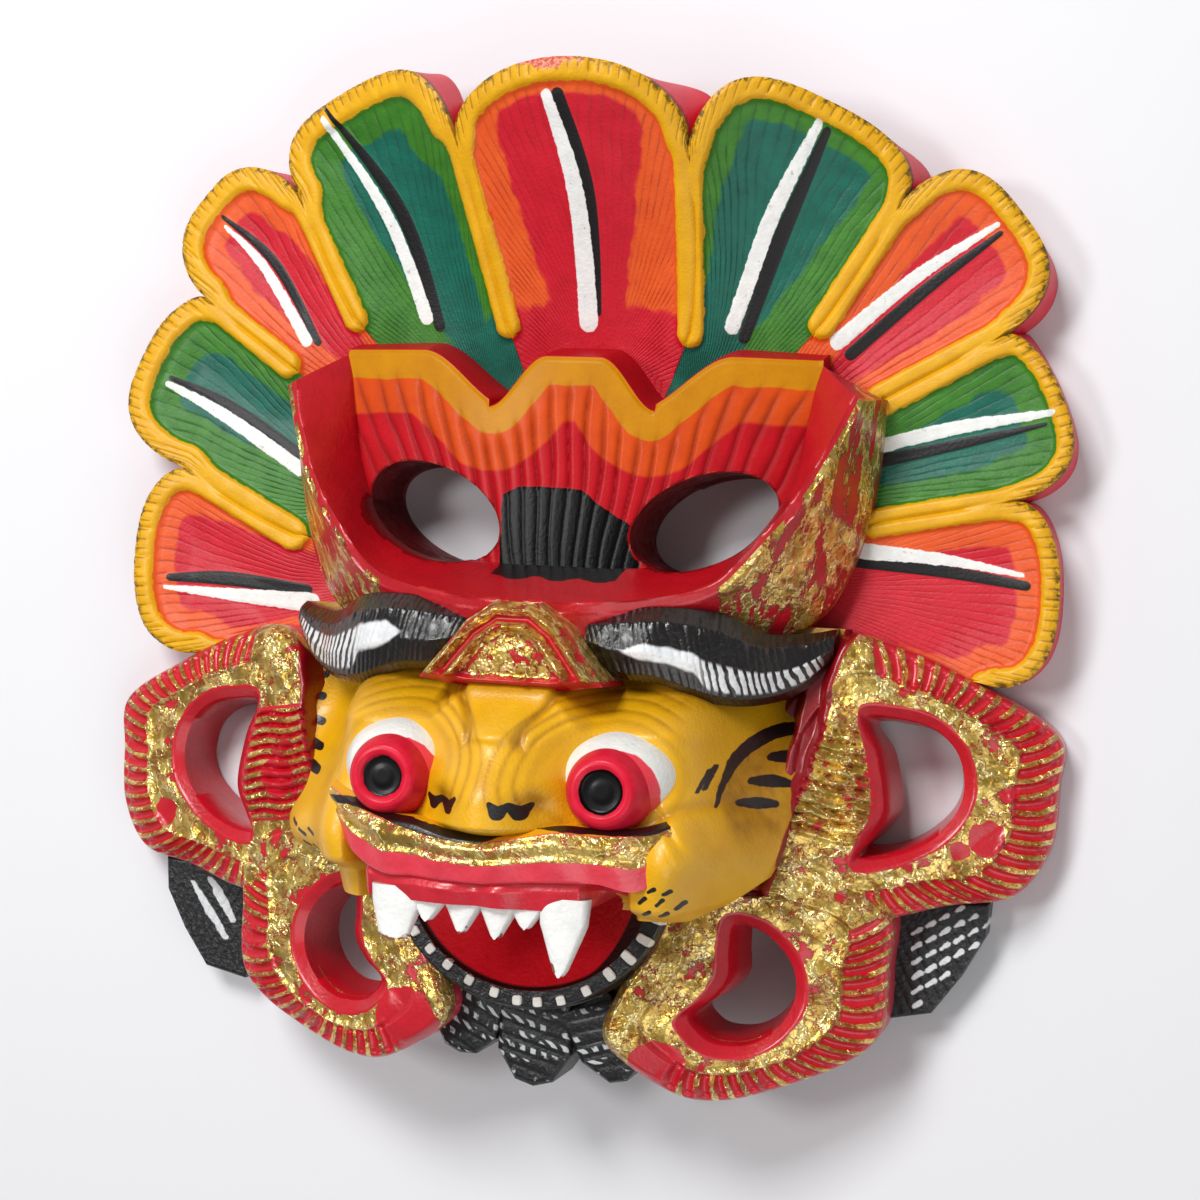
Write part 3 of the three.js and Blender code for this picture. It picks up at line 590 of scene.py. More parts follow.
# Recess above the brows: an upright wall with three lobes along its top, cut into rounded ridges that fan
# out, yellow along the lobes, then orange, then red, with a black patch in the middle. Two slanting oval
# holes to look through.
WALL_HALF = 36.0
WALL_FOOT = -3.0
WALL_FRONT = 18.0
WALL_SIDE_DROP = 4.0
WALL_BACK = 0.15
WALL_BACK_TOP = 3.0
RIDGE_STEP = np.radians(2.28)
RIDGE_DEPTH = 0.32
RIDGE_CENTRE_Y = -42.0
BLACK_PATCH = [(-9.6, 14), (-7.4, 15.2), (-1.1, 15.4), (2.4, 15), (6.5, 12.2), (11, 9.6), (11.6, 4),
               (11.4, -2), (-10, -2), (-9.6, 4)]


def lobe_edge(x):
    """Height of the wall's top: a flat-topped middle lobe, a notch each side and a side lobe beyond it."""
    out = np.abs(x)
    middle = 34.3 - 7.5 * smooth(out, 3.9, 12.5) ** 1.1
    return np.where(out <= 12.5, middle, 26.8 + 8.2 * smooth(out, 9.5, 23.5))


def within(x, y, outline):
    """Signed distance to a closed outline, positive inside it."""
    outline = np.asarray(outline, float)
    ends = np.roll(outline, -1, axis=0)
    inside = np.zeros(np.shape(x), bool)
    for (ax, ay), (bx, by) in zip(outline, ends):
        crosses = (ay > y) != (by > y)
        inside ^= crosses & (x < (bx - ax) * (y - ay) / (by - ay + 1e-12) + ax)
    gap = distance_to(x, y, np.vstack([outline, outline[:1]]))
    return np.where(inside, gap, -gap)


def wall_piece():
    """Columns from foot to lobes; the ridges' grooves, 1 - |sin|, fan out from a point below the chin."""
    x = np.linspace(-WALL_HALF, WALL_HALF, 420)[:, None]
    y = WALL_FOOT + (lobe_edge(x) - WALL_FOOT) * np.linspace(0, 1, 104) ** 0.9
    x = x + 0 * y
    edge = np.column_stack([x[:, 0], lobe_edge(x[:, 0])])[::5]
    lobe = distance_to(x, y, edge)
    ridge = np.arctan2(x, y - RIDGE_CENTRE_Y) / RIDGE_STEP + 0.12 * np.sin(0.3 * y + 0.6 * np.sin(x))
    groove = (1 - waves(ridge)) ** 1.8
    fade = smooth(lobe, 3.4, 6.5) * (1 - 0.75 * smooth(-x, 20, 30)) * (1 - 0.4 * smooth(x, 27, 34))
    fade *= 1 - 0.75 * smooth(within(x, y, BLACK_PATCH), -0.5, 0.5)
    z = WALL_FRONT - WALL_SIDE_DROP * (x / WALL_HALF) ** 2 - RIDGE_DEPTH * groove * fade
    z -= 0.5 * (1 - smooth(lobe, 0, 0.6))
    front = spots(x, y, z)
    top = front[:, -1]
    fall = np.array([[0.15, 0.3, 0], [1.2, 0, 4], [2.4, 0, 9.6], [2.4, 0, 20]])
    slope = np.gradient(top[:, 1], top[:, 0])
    out = np.stack([-slope, np.ones_like(slope), np.zeros_like(slope)], axis=-1)
    out /= np.linalg.norm(out, axis=1)[:, None]
    sides = top[:, None] + out[:, None] * fall[None, :, :1] * np.array([0.5, 1, 1])
    sides[..., 2] = np.maximum(top[:, None, 2] - fall[None, :, 2], WALL_BACK_TOP)
    sides[..., 0] = np.clip(sides[..., 0], -WALL_HALF, WALL_HALF)
    sections = np.concatenate([front, sides, spots(x[:, :1], y[:, :1], WALL_BACK)], axis=1)
    return carve("recess_wall", sections, {
        "lobe": (lobe, -4), "patch": (within(x, y, BLACK_PATCH), -9), "ridge": (ridge, 0), "hole": 0})


def wall_paint():
    """Bands that follow the lobes, their edges wandering, darkened as painted shade in the recess and its
    grooves.
    """
    paint = Paint("recess_paint", roughness=0.48, coat=0.04, shine=0.1)
    soft = paint.grain(0.25, 3)
    fine = paint.grain(2.0, 4)
    lobe = paint.uneven(paint.mark("lobe"), 0.7, 0.16)
    # These reds, oranges and yellows are laid darker than the same paints on crown and face: painted shade
    # for the recess.
    red = paint.over(soft, (150, 10, 22), (184, 20, 34))
    orange = paint.over(soft, (172, 54, 18), (206, 80, 22))
    yellow = paint.over(soft, (164, 102, 4), (192, 130, 8))
    coat = paint.over(paint.past(lobe, 9.4, 0.3), orange, red)
    coat = paint.over(paint.past(lobe, 4.2, 0.15), yellow, coat)
    coat = paint.over(paint.past(paint.mark("lobe"), -0.2, 0.1), red, coat)
    # Painted shade: dark red-brown in the ridges' grooves below the yellow band.
    painted_shade = (1 - paint.wave(paint.mark("ridge"))) ** 1.6 * paint.past(paint.mark("lobe"), 4.5, 2.5)
    coat = paint.over(painted_shade * 0.55, coat, (84, 14, 12))
    patch = paint.uneven(paint.mark("patch"), 0.35, 0.5)
    is_black = paint.past(patch, 0, 0.08)
    coat = paint.over(is_black, coat, (7, 6, 7))
    # The walls of the sight holes: red laid darker, painted shade in the holes.
    coat = paint.over(paint.past(paint.mark("hole"), 0.5), coat, (120, 6, 16))
    paint.feed("Base Color", coat)
    paint.feed("Roughness", paint.level(is_black, paint.level(fine, 0.44, 0.56), 0.3))
    paint.emboss(fine * 0.5, 0.12)
    return paint.material


recess_wall = wall_piece()
pierce(recess_wall, (sight_hole(-1), sight_hole(1), nail_notch(0.3)))
join_to_mask(recess_wall, wall_paint())


# Crescent rim below and beside the recess, carved with it from the same block: a red ledge in the middle
# that climbs at each side into a horn. The horns' outer facets carry gold leaf over the red, torn and
# flaked in streaks.
RIM = np.array([
    [(0, 4, 19.5), (0, -1.2, 36), (0, -8, 34)],
    [(9, 4, 19.5), (9, -1, 35), (9, -8, 33)],
    [(18, 5, 19), (18, 0.2, 32), (20, -7, 29)],
    [(25.5, 7.5, 18), (25, 2.6, 29.5), (31, -5.5, 18)],
    [(30.5, 12.5, 17), (30.5, 8.6, 28.5), (38, -0.5, 13)],
    [(33, 19, 16), (35.2, 15, 26.5), (42.2, 9, 11.5)],
    [(34.5, 27, 15), (38.8, 22.4, 23.5), (44, 18.5, 11)],
    [(35.6, 34.6, 13.5), (41.6, 29.6, 20.5), (44.8, 30, 11)]])
RIM_FLAT = 1.6
RIM_SLOPE = 0.3
RIM_BACK = 0.25
HOLLOW = dict(y=-22.5, half_wide=28.0, half_tall=18.0, depth=24.0)


def hollow_depth(x, y):
    """How high the scooped hollow behind the face reaches at a place, nothing outside it."""
    rest = 1 - (x / HOLLOW["half_wide"]) ** 2 - ((y - HOLLOW["y"]) / HOLLOW["half_tall"]) ** 2
    return HOLLOW["depth"] * np.sqrt(np.clip(rest, 0, 1))


def between_points(points, counts):
    """Sections with straight steps between listed corners, as many from each corner as counts gives."""
    steps = [points[:, i, None] * (1 - t) + points[:, i + 1, None] * t for i, count in enumerate(counts)
             for t in [np.linspace(0, 1, count, endpoint=False)[None, :, None]]]
    return np.concatenate(steps + [points[:, -1:]], axis=1)


def rim_piece():
    """Stations from horn to horn; each runs up the inner wall, over the crest and down the outer facet."""
    mirrored = RIM[:0:-1] * np.array([-1, 1, 1])
    listed = np.concatenate([mirrored, RIM]).reshape(-1, 9)
    path = drawn_through(listed, 420).reshape(-1, 3, 3)
    inner, crest, outer = path[:, 0], path[:, 1], path[:, 2]
    toward = (outer - inner)[:, :2]
    toward = toward / np.linalg.norm(toward, axis=1)[:, None]
    crest_out = crest + np.column_stack([toward * RIM_FLAT, np.full(len(crest), -RIM_SLOPE)])

    def at_back(points):
        """The places behind these points, on the flat back or on the roof of the hollow."""
        hollow = hollow_depth(points[:, 0], points[:, 1])
        return np.column_stack([points[:, :2], np.maximum(RIM_BACK, hollow + 4 * smooth(hollow, 0, 3))])

    middle = at_back((inner + outer) / 2)
    corners = np.stack([at_back(inner), inner, crest, crest_out, outer, at_back(outer), middle], axis=1)
    sections = between_points(corners, (4, 14, 7, 24, 6, 4))
    s = np.linspace(-1, 1, len(sections))[:, None]
    step = np.arange(sections.shape[1])[None, :]
    facet = np.clip((step - 25) / 24, 0, 1) * np.ones_like(s)
    crease = bump(facet - 0.8, 0.05) * ((step > 25) & (step < 49)) * smooth(np.abs(s), 0.45, 0.6)
    knife = 0.18 * np.sin(37 * s + 3 * np.sin(9 * s)) * ((step > 18) & (step < 25))
    sections[..., 2] += 0.35 * crease + knife - 0.25 * bump(facet - 0.4, 0.25) * (step > 25) * (step < 49)
    x = sections[..., 0]
    from_mid = np.where(x > 0, x - 25.5, -x - 23.5)
    on_facet = np.where((step >= 22) & (step <= 50), 3.0, -3.0) * np.ones_like(x)
    gold = np.minimum(from_mid, on_facet)
    patch = np.minimum(9.6 - np.abs(x - 0.6), 0.5 * (9.5 - step)) + 0.4 * np.sin(x)
    patch = np.where(step < 11, patch, -9.0)
    return carve("recess_rim", sections, {"gold": gold, "hole": 0, "patch": patch})


def gild(paint, field, ground, torn, per_mm, streak=(1, 1, 1)):
    """Gold leaf over a red ground where the field is above 0, crinkled all over with painted highlights on
    its folds, torn and cracked.
    """
    fold = abs(paint.grain(0.3, 3, sharp=0.5) - 0.5)
    crease = 1 - paint.past(fold, 0.022, 0.022)
    crumple = paint.grain(0.42, 2, sharp=0.5)
    fine = paint.grain(1.5, 3, sharp=0.5)
    wide = paint.grain(per_mm, 7, stretch=streak, sharp=0.66)
    leaf = paint.past((wide - 0.5) * 3.0 + field, 0, 0.1) * (1 - paint.past(wide, torn + 0.06, 0.012))
    tone = paint.over(paint.past(crumple, 0.5, 0.14), (196, 158, 70), (238, 206, 116))
    dull = paint.past(paint.grain(0.2, 4, sharp=0.6), 0.52, 0.05)
    tone = paint.over(dull * 0.65, tone, (140, 108, 38))
    # Pale gold along the folds of the leaf: painted highlight.
    tone = paint.over(crease * 0.6, tone, (255, 240, 176))
    crack = abs(paint.grain(0.16, 6, sharp=0.7) - 0.5)
    leaf = leaf * paint.past(crack, 0.007, 0.003)
    paint.feed("Base Color", paint.over(leaf, ground, tone))
    paint.feed("Metallic", leaf * 0.75)
    paint.feed("Roughness", paint.level(leaf, 0.36, 0.3))
    wrinkle = fine * 0.3 + crumple * 1.1 + crease * 0.22
    paint.emboss(leaf * 0.3 + paint.level(leaf, fine * 0.15, wrinkle), 0.6)


def rim_paint():
    """Red, laid darker as painted shade on the walls of the sight holes, and gold leaf on the horns' outer
    facets.
    """
    paint = Paint("rim_paint", roughness=0.36, coat=0.25)
    soft = paint.grain(0.3, 3)
    red = paint.over(soft, (152, 8, 22), (186, 20, 36))
    red = paint.over(paint.past(paint.uneven(paint.mark("patch"), 0.3, 0.5), 0, 0.1), red, (14, 12, 13))
    # The walls of the sight holes: red laid darker, painted shade in the holes.
    in_hole = paint.past(paint.mark("hole"), 0.5)
    red = paint.over(in_hole, red, (120, 6, 16))
    on_leaf = paint.level(in_hole, paint.mark("gold"), -4)
    gild(paint, on_leaf, red, torn=0.455, per_mm=0.3, streak=(1, 3.6, 1))
    return paint.material


recess_rim = rim_piece()
pierce(recess_rim, (sight_hole(-1), sight_hole(1)))
join_to_mask(recess_rim, rim_paint())


# Face: a broad muzzle with a bridge, cheeks and eye sockets, thin over the hollow behind it. Yellow with
# brown painted shade in the creases and under the brow, and black strokes brushed on beside the nose, on the
# cheeks and in the ears.
FACE_SIDE = np.array([(-3, 41), (-12, 40.4), (-16.3, 39.6), (-20, 38.4), (-23, 37.4), (-28, 36.2),
                      (-34, 35.2), (-38, 33.5), (-41, 29.6), (-43.4, 25)])
FACE_TOP = -3.0
FACE_FOOT = -43.4
FACE_BACK = 0.35
FACE_END = 41.2
CAD_FRONT = 52.8
# The viewer's left jowl swells out over the ornament
JOWL_FLARE = 3.0
JOWL_DOWN = 35.2
EYE_X = 15.2
EYE_Y = -24.4
# Brushed marks as x, y and half width: ears, nostrils, the left cheek's edge and the whisker dots
FACE_STROKES = [
    [(27.8, -27.6, 0.2), (28.2, -24.0, 0.4), (29.3, -20.6, 0.8), (32.4, -17.9, 1.0), (37.2, -17.2, 0.8)],
    [(32.4, -21.4, 0.6), (34.4, -21.3, 0.9), (36.4, -21.5, 0.5)],
    [(30.8, -24.5, 0.5), (32.8, -24.6, 0.85), (35.2, -25.0, 0.5)],
    [(30.0, -27.3, 0.5), (31.8, -27.5, 0.8), (33.8, -27.7, 0.5)],
    [(26.5, -25.2, 0.25), (27.1, -22.3, 0.3)], [(25.8, -25.6, 0.2), (26.6, -22.9, 0.3)],
    [(-9.2, -27.7, 0.3), (-8.2, -28.7, 0.85)], [(-8.2, -28.7, 0.7), (-6.7, -27.9, 0.45)],
    [(-6.7, -27.9, 0.45), (-5.1, -28.9, 0.95)], [(-5.1, -28.9, 0.8), (-3.7, -27.6, 0.3)],
    [(1.5, -27.8, 0.3), (2.5, -29.0, 0.95)], [(2.5, -29.0, 0.8), (3.7, -28.0, 0.45)],
    [(3.7, -28.0, 0.45), (4.9, -29.0, 0.95)], [(4.9, -29.0, 0.8), (6.0, -27.8, 0.3)],
    [(-39.6, -13.6, 0.5), (-37.6, -14.0, 0.5)], [(-39.4, -16.8, 0.7), (-37.2, -17.2, 0.6)],
    [(-38.6, -20.4, 0.8), (-36.4, -20.8, 0.6)], [(-37.8, -23.8, 0.9), (-35.4, -24.4, 0.6)],
    [(-36.8, -27.0, 0.9), (-34.6, -27.6, 0.7)],
    [(20.1, -40.2, 0.25), (20.9, -39.5, 0.3)], [(22.4, -40.4, 0.25), (23.2, -39.6, 0.32)],
    [(24.6, -40.9, 0.25), (25.6, -40.0, 0.32)], [(21.4, -38.6, 0.25), (22.3, -38.1, 0.3)],
    [(23.4, -38.8, 0.25), (24.3, -38.3, 0.3)], [(20.4, -41.9, 0.22), (21.4, -41.4, 0.3)],
    [(22.6, -42.0, 0.22), (23.6, -41.5, 0.3)],
    [(-35.6, -34.4, 0.25), (-34.6, -35, 0.35)], [(-33.8, -35.6, 0.25), (-32.6, -36.2, 0.35)],
    [(-31.6, -35.2, 0.25), (-30.4, -35.8, 0.35)], [(-33.4, -37.4, 0.25), (-32.2, -37.9, 0.32)],
    [(-31.2, -37.6, 0.25), (-29.8, -38.2, 0.32)], [(-29.0, -36.8, 0.25), (-27.8, -37.4, 0.32)],
]


def ornament_edge(y):
    """How far out each side ornament begins beside the face."""
    return np.interp(-y, [3, 8, 12, 16.3, 23.2, 28.2, 32.5, 41],
                     [42.6, 40.4, 39.6, 39.2, 37.4, 35.6, 34.4, 32.6])


def face_height(x, y):
    """Muzzle 25 / (1 + (|x| / 28)^12) over an edge at 17, less the brow's sink, with bells for bridge,
    nose, cheek, ear and socket."""
    out = np.abs(x)
    foot = -14 - 5 * smooth(out, 5, 12)
    height = 17 + 25 / (1 + (out / 28) ** 12) - 16 * smooth(y, foot, foot + 8) * bump(out, 34)
    height += 7 * bump(out, 9) * smooth(-y, 13, 20) + 4 * bump(out, 10) * smooth(-y, 20, 28)
    height += 8 * bump(np.hypot(out - 28.5, y + 33.5), 8) - 4 * bump(np.hypot(out - 33.5, y + 17), 6)
    height -= 2.5 * bump(np.hypot(out - EYE_X, y - EYE_Y), 9.6)
    under_nose = np.where(x > 0, smooth(x, 15.5, 19), smooth(-x, 18.5, 22))
    return height - 10 * smooth(-y, 31, 34) * (1 - under_nose)


def face_piece():
    """Rows from brow to chin across the face, the back following the hollow."""
    y = np.linspace(FACE_TOP, FACE_FOOT, 236)[:, None]
    half = np.interp(-y, -FACE_SIDE[:, 0], FACE_SIDE[:, 1])
    u = np.linspace(-1, 1, 318)
    flare = JOWL_FLARE * bump(y + JOWL_DOWN, 3.6) * (u < 0)
    x = np.sign(u) * np.abs(u) ** 0.9 * (half + flare)
    y = y + 0 * x
    out = np.abs(x)
    z = face_height(x, y)
    z += 6 * bump(np.hypot(x + 35, y + JOWL_DOWN + 0.4), 4.6)
    bridge = out - 2.7 - 3.3 * smooth(y, -19.5, -12.5) - 1.5 * smooth(-y, 20, 22.5)
    panel = (1 - smooth(bridge, -0.2, 0.5)) * smooth(-y, 9, 12) * (1 - smooth(-y, 19, 20.6))
    z += 0.7 * panel - 0.9 * bump((y + 15.6) / 3.4, 1) * panel
    crease = bump(bridge - 0.9, 0.7) * smooth(-y, 9, 12) * (1 - smooth(-y, 19.5, 22))
    z -= 1.0 * crease
    ring = np.hypot((out - EYE_X) / 8.6, (y - EYE_Y) / 6.9) * 7.6
    ridges = (1 - waves((ring - 8.4) / 1.55)) ** 1.6 * smooth(ring, 8.3, 9.0) * (1 - smooth(ring, 12.8, 14))
    ridges *= smooth(-y, 11, 14) * (1 - smooth(-y, 27, 30)) * (1 - smooth(out, 20, 25))
    z -= 0.42 * ridges * smooth(bridge, 1.5, 3)
    nostril = bump(np.hypot(out - 6.4, (y + 27.9) * 1.1), 1.9)
    z += 1.5 * bump(np.hypot(out - 7.0, y + 25.6), 3.0) - 1.6 * nostril
    cheek = np.hypot(x - 27.6, (y + 35) * 1.1)
    z += 2.0 * bump(cheek, 6.5) - 0.9 * bump(cheek - 8.4, 1.0) * smooth(y, -34, -29)
    z += 0.3 * np.abs(np.sin(0.62 * x + 0.35 * y)) * bump(cheek, 9)
    z -= 0.7 * bump((x - 24) + 0.8 * (y + 31), 0.7) * bump(np.hypot(x - 24, y + 31), 4)
    foot = FACE_END + np.where(x > 0, 2.4 * bump(x - 23, 9), -1.4)
    end = smooth(-y, foot - 2.6, foot)
    z -= np.where((x > 14) | (x < -18), 5 * end ** 2, 30 * smooth(-y, 39.4, 40.8))
    front = spots(x, y, np.clip(z, 1, CAD_FRONT))
    rest = np.clip(1 - ((y[:, :1] - HOLLOW["y"]) / HOLLOW["half_tall"]) ** 2, 0.0004, 1)
    mouth = HOLLOW["half_wide"] * np.sqrt(rest)
    inside = mouth * np.sin(np.linspace(np.pi / 2, -np.pi / 2, 37))
    beyond = np.linspace(1, 0, 6)[None, :-1]
    back_x = np.concatenate([mouth + (x[:, -1:] - mouth) * beyond, inside,
                             -mouth + (x[:, :1] + mouth) * beyond[:, ::-1]], axis=1)
    back_z = np.maximum(FACE_BACK, hollow_depth(back_x, y[:, :1]))
    sections = np.concatenate([front, spots(back_x, y[:, :1], back_z)], axis=1)
    ink = np.full_like(x, 9.0)
    for stroke in FACE_STROKES:
        line = drawn_through(stroke, 16)
        ink = np.minimum(ink, distance_to(x, y, line[:, :2], line[:, 2]))
    # Brown painted shade where shade falls: eye ridges, the bridge's creases, under the brow, the nostrils,
    # the sunk ear panel, the socket's rim and the cheek's crease.
    painted_shade = 0.75 * ridges + 0.9 * crease + 0.95 * smooth(y, -15.5, -11.5) + 0.8 * nostril
    painted_shade += 2.0 * smooth(x, 27.0 + 0.35 * np.abs(y + 25), 28.6 + 0.35 * np.abs(y + 25)) * bump(y + 25.5, 6)
    painted_shade += 0.5 * bump(np.hypot(out - 25, y + 12), 5)
    painted_shade += 0.3 * bump(ring - 8.2, 0.5) + 0.4 * bump(cheek - 8.4, 0.8) * smooth(y, -34, -29)
    # Dark red beyond the face's sides, where it meets the ornaments, and behind the teeth: red paint, laid
    # darker as painted shade between the parts and in the mouth.
    red = np.where(x > 0, ornament_edge(y) - 1.6 + 2.3 * smooth(-y, 24, 30),
                   ornament_edge(y + 2.4) - 0.4 + 9 * smooth(-y, 26, 29)) - out
    red = np.minimum(red, np.where((x > 14) | (x < -18), 9, y + 40.2))
    return carve("face", sections, {
        "ink": (ink, 9), "painted_shade": (np.clip(painted_shade, 0, 1), 0), "side": (red, -1), "hollow": (0 * x - 1, 1)})


def face_paint():
    """Ochre yellow, brown painted shade, black strokes, red laid darker as painted shade at the sides and
    behind the teeth, and bare wood inside.
    """
    paint = Paint("face_paint", roughness=0.42, coat=0.15)
    soft = paint.grain(0.22, 3)
    fine = paint.grain(2.0, 4)
    yellow = paint.over(soft, (204, 144, 8), (226, 172, 14))
    # The brown painted shade, laid unevenly over the yellow.
    painted_shade = paint.mark("painted_shade") * paint.level(paint.grain(0.6, 4), 0.35, 1.1)
    coat = paint.over(painted_shade * 0.85, yellow, (118, 70, 8))
    ink = -paint.uneven(paint.mark("ink"), 0.12, 0.9)
    coat = paint.over(paint.past(ink, 0, 0.06), coat, (22, 18, 16))
    # Red at the sides and behind the teeth, laid darker as painted shade.
    side = -paint.uneven(paint.mark("side"), 0.3, 0.4)
    coat = paint.over(paint.past(side, 0, 0.1), coat, (130, 10, 22))
    wood = paint.over(paint.grain(0.8, 5, stretch=(1, 8, 1)), (120, 84, 50), (168, 128, 84))
    coat = paint.over(paint.past(paint.mark("hollow"), 0), coat, wood)
    paint.feed("Base Color", coat)
    paint.feed("Roughness", paint.level(fine, 0.34, 0.5))
    paint.emboss(fine, 0.1)
    return paint.material


join_to_mask(face_piece(), face_paint())


# Eyes: two low domes with a raised ring for the iris round a sunk pupil, all painted.
EYE = dict(half_wide=8.6, half_tall=6.9, base=36.0, rise=11.0, root=8.0)
IRIS = dict(x=15.2, y=-25.6)
# Radius and height from the iris ring's root over its crest to the sunk pupil
IRIS_PROFILE = np.array([
    (6.4, 38), (6.0, 42.5), (5.5, 44.9), (5.0, 46.4), (4.6, 47.3), (4.1, 47.8), (3.5, 47.9), (3.0, 47.6),
    (2.7, 47.2), (1.8, 47.1), (1.0, 47.2), (0.1, 47.2)])


def rings_about(centre, radii, heights, count, scale=(1, 1)):
    """Level rings about an upright axis, one for each radius and height."""
    around = np.linspace(0, 2 * np.pi, count, endpoint=False)
    x = centre[0] + radii[:, None] * scale[0] * np.cos(around)
    y = centre[1] + radii[:, None] * scale[1] * np.sin(around)
    return spots(x, y, heights[:, None])


def eye_piece(name, side):
    """A dome cos by sin from a straight root, its crown one small flat ring."""
    turn = np.radians(np.linspace(0, 89.6, 40))
    radii = np.concatenate([[1.0], np.cos(turn)])
    heights = np.concatenate([[EYE["base"] - EYE["root"]], EYE["base"] + EYE["rise"] * np.sin(turn)])
    rings = rings_about((side * EYE_X, EYE_Y), radii, heights, 120, (EYE["half_wide"], EYE["half_tall"]))
    disc = np.hypot(rings[..., 0] - side * IRIS["x"] - 1.3, rings[..., 1] - IRIS["y"] + 0.2)
    return carve(name, rings, {"disc": 5.5 - disc, "height": rings[..., 2] - 38})


def iris_piece(name, side):
    """The iris ring turned about an upright axis, with straight steps along its profile."""
    profile = between_points(IRIS_PROFILE[None], (3,) * (len(IRIS_PROFILE) - 1))[0]
    rings = rings_about((side * IRIS["x"], IRIS["y"]), profile[:, 0], profile[:, 1], 96)
    return carve(name, rings, {"out": profile[:, :1]})


def eye_paint():
    """Chalky white with a pink disc behind the iris ring and a dark line round its foot."""
    paint = Paint("eye_white", roughness=0.34, coat=0.3)
    fine = paint.grain(1.5, 4)
    chalk = paint.over(paint.grain(0.5, 3), (206, 208, 204), (234, 234, 228))
    above_foot = paint.past(paint.uneven(paint.mark("height"), 0.5, 0.5), 0.2, 0.15)
    coat = paint.over(above_foot, (30, 24, 22), chalk)
    disc = paint.past(paint.uneven(paint.mark("disc"), 0.25, 0.5), 0, 0.08)
    coat = paint.over(disc, coat, (216, 56, 70))
    paint.feed("Base Color", coat)
    paint.emboss(fine, 0.12)
    return paint.material


def iris_paint(name, pupil):
    """Red ring with a black pupil of the given radius."""
    paint = Paint(name, roughness=0.4, coat=0.1, shine=0.15)
    red = paint.over(paint.grain(0.6, 3), (178, 12, 34), (214, 40, 66))
    dark = paint.past(-paint.uneven(paint.mark("out"), 0.2, 0.6), -pupil, 0.08)
    paint.feed("Base Color", paint.over(dark, red, (5, 4, 5)))
    return paint.material


white_of_eye = eye_paint()
for eye_name, side, pupil in (("left", -1, 2.75), ("right", 1, 3.0)):
    join_to_mask(eye_piece(eye_name + "_eye", side), white_of_eye)
    join_to_mask(iris_piece(eye_name + "_iris", side), iris_paint(eye_name + "_iris_paint", pupil))


# Brows: two thick arched ridges, black and glossy on top with hair cuts along both edges, white below with
# the white combed over the black in short slanting strokes towards the outer end.
BROW = np.array([
    (8.6, -5.6, 35, 2.6), (13, -6.4, 36, 4.6), (19, -6.4, 35.4, 5.4), (26, -7.8, 32, 6.3), (31.5, -9, 27, 5),
    (36.5, -7.8, 22, 4), (40.2, -5.2, 18.5, 2.2)])
BROW_PROUD = 3.4
BROW_BACK = 15.0
HAIR_STEP = 1.0
SCALLOP_STEP = 2.2


def brow_piece(name, side):
    """Sections along the arch: up the top edge, over a flat crest and down a sloping white front."""
    path = drawn_through(BROW, 200)
    x, y, z, h = (path[:, i] for i in range(4))
    foot = np.minimum(BROW_BACK, z - 6) - z
    rows = [(1, foot), (1, -BROW_PROUD), (0.6, -0.6), (-0.2, 0), (-0.8, -1.2), (-1, -BROW_PROUD), (-1, foot)]
    corners = np.stack([spots(x, y + share * h, z + drop) for share, drop in rows], axis=1)
    sections = between_points(corners, (4, 12, 16, 16, 10, 4))
    step = np.arange(sections.shape[1])[None, :]
    run = run_along(path)
    down = np.interp(step, [0, 4, 16, 32, 48, 58, 62], [9, 1, 0.6, -0.2, -0.8, -1, -9]) + 0 * run
    hair = run / HAIR_STEP + 1.3 * down + 0.35 * np.sin(run * 0.8)
    groove = (1 - waves(hair)) ** 1.5
    on_edge = np.maximum(smooth(down, 0.35, 0.7) * (down < 2), smooth(-down, 0.35, 0.7) * (down > -2))
    sections[..., 2] -= 0.14 * groove * on_edge
    scallop = waves(run / SCALLOP_STEP) ** 0.6
    sections[..., 2] -= 0.35 * (1 - scallop) * bump(down - 0.62, 0.16)
    sections[..., 2] += 0.22 * np.sin(run * 0.9) * bump(down, 0.5)
    sections[..., 0] *= side
    return carve(name, sections, {"down": down, "hair": hair, "run": run})


def brow_paint(name, middle, half, start, solid_until, comb_until):
    """Black-brown gloss with a white stroke along the front that breaks into combed hairs."""
    paint = Paint(name, roughness=0.28, coat=0.5)
    fine = paint.grain(1.4, 4)
    black = paint.over(paint.grain(0.4, 5), (6, 5, 6), (22, 15, 13))
    down, run = paint.uneven(paint.mark("down"), 0.07, 0.5), paint.mark("run")
    line = paint.wave(paint.uneven(paint.mark("hair"), 0.3, 0.4))
    combed = paint.past(run, solid_until, 1.0)
    reach = paint.level(combed, half, half * 1.45) * paint.past(run, start + 1, 2.2)
    off = abs(down - paint.level(combed, middle, middle - 0.2))
    between_ends = paint.past(run, start, 0.7) * (1 - paint.past(run, comb_until, 0.8))
    band = paint.past(reach - off, 0, 0.05) * between_ends
    gap = combed * (1 - paint.past(paint.uneven(line, 0.45, 0.5), 0.62, 0.12))
    white = band * (1 - gap)
    chalk = paint.over(paint.grain(0.8, 5), (190, 194, 198), (232, 232, 232))
    paint.feed("Base Color", paint.over(white, black, chalk))
    paint.emboss(line * 0.25 + fine * 0.8 + white * 0.4, 0.22)
    return paint.material


join_to_mask(brow_piece("left_brow", -1), brow_paint("left_brow_paint", 0.0, 0.3, 9.5, 17.5, 32))
join_to_mask(brow_piece("right_brow", 1), brow_paint("right_brow_paint", -0.2, 0.2, 5.5, 16, 31))


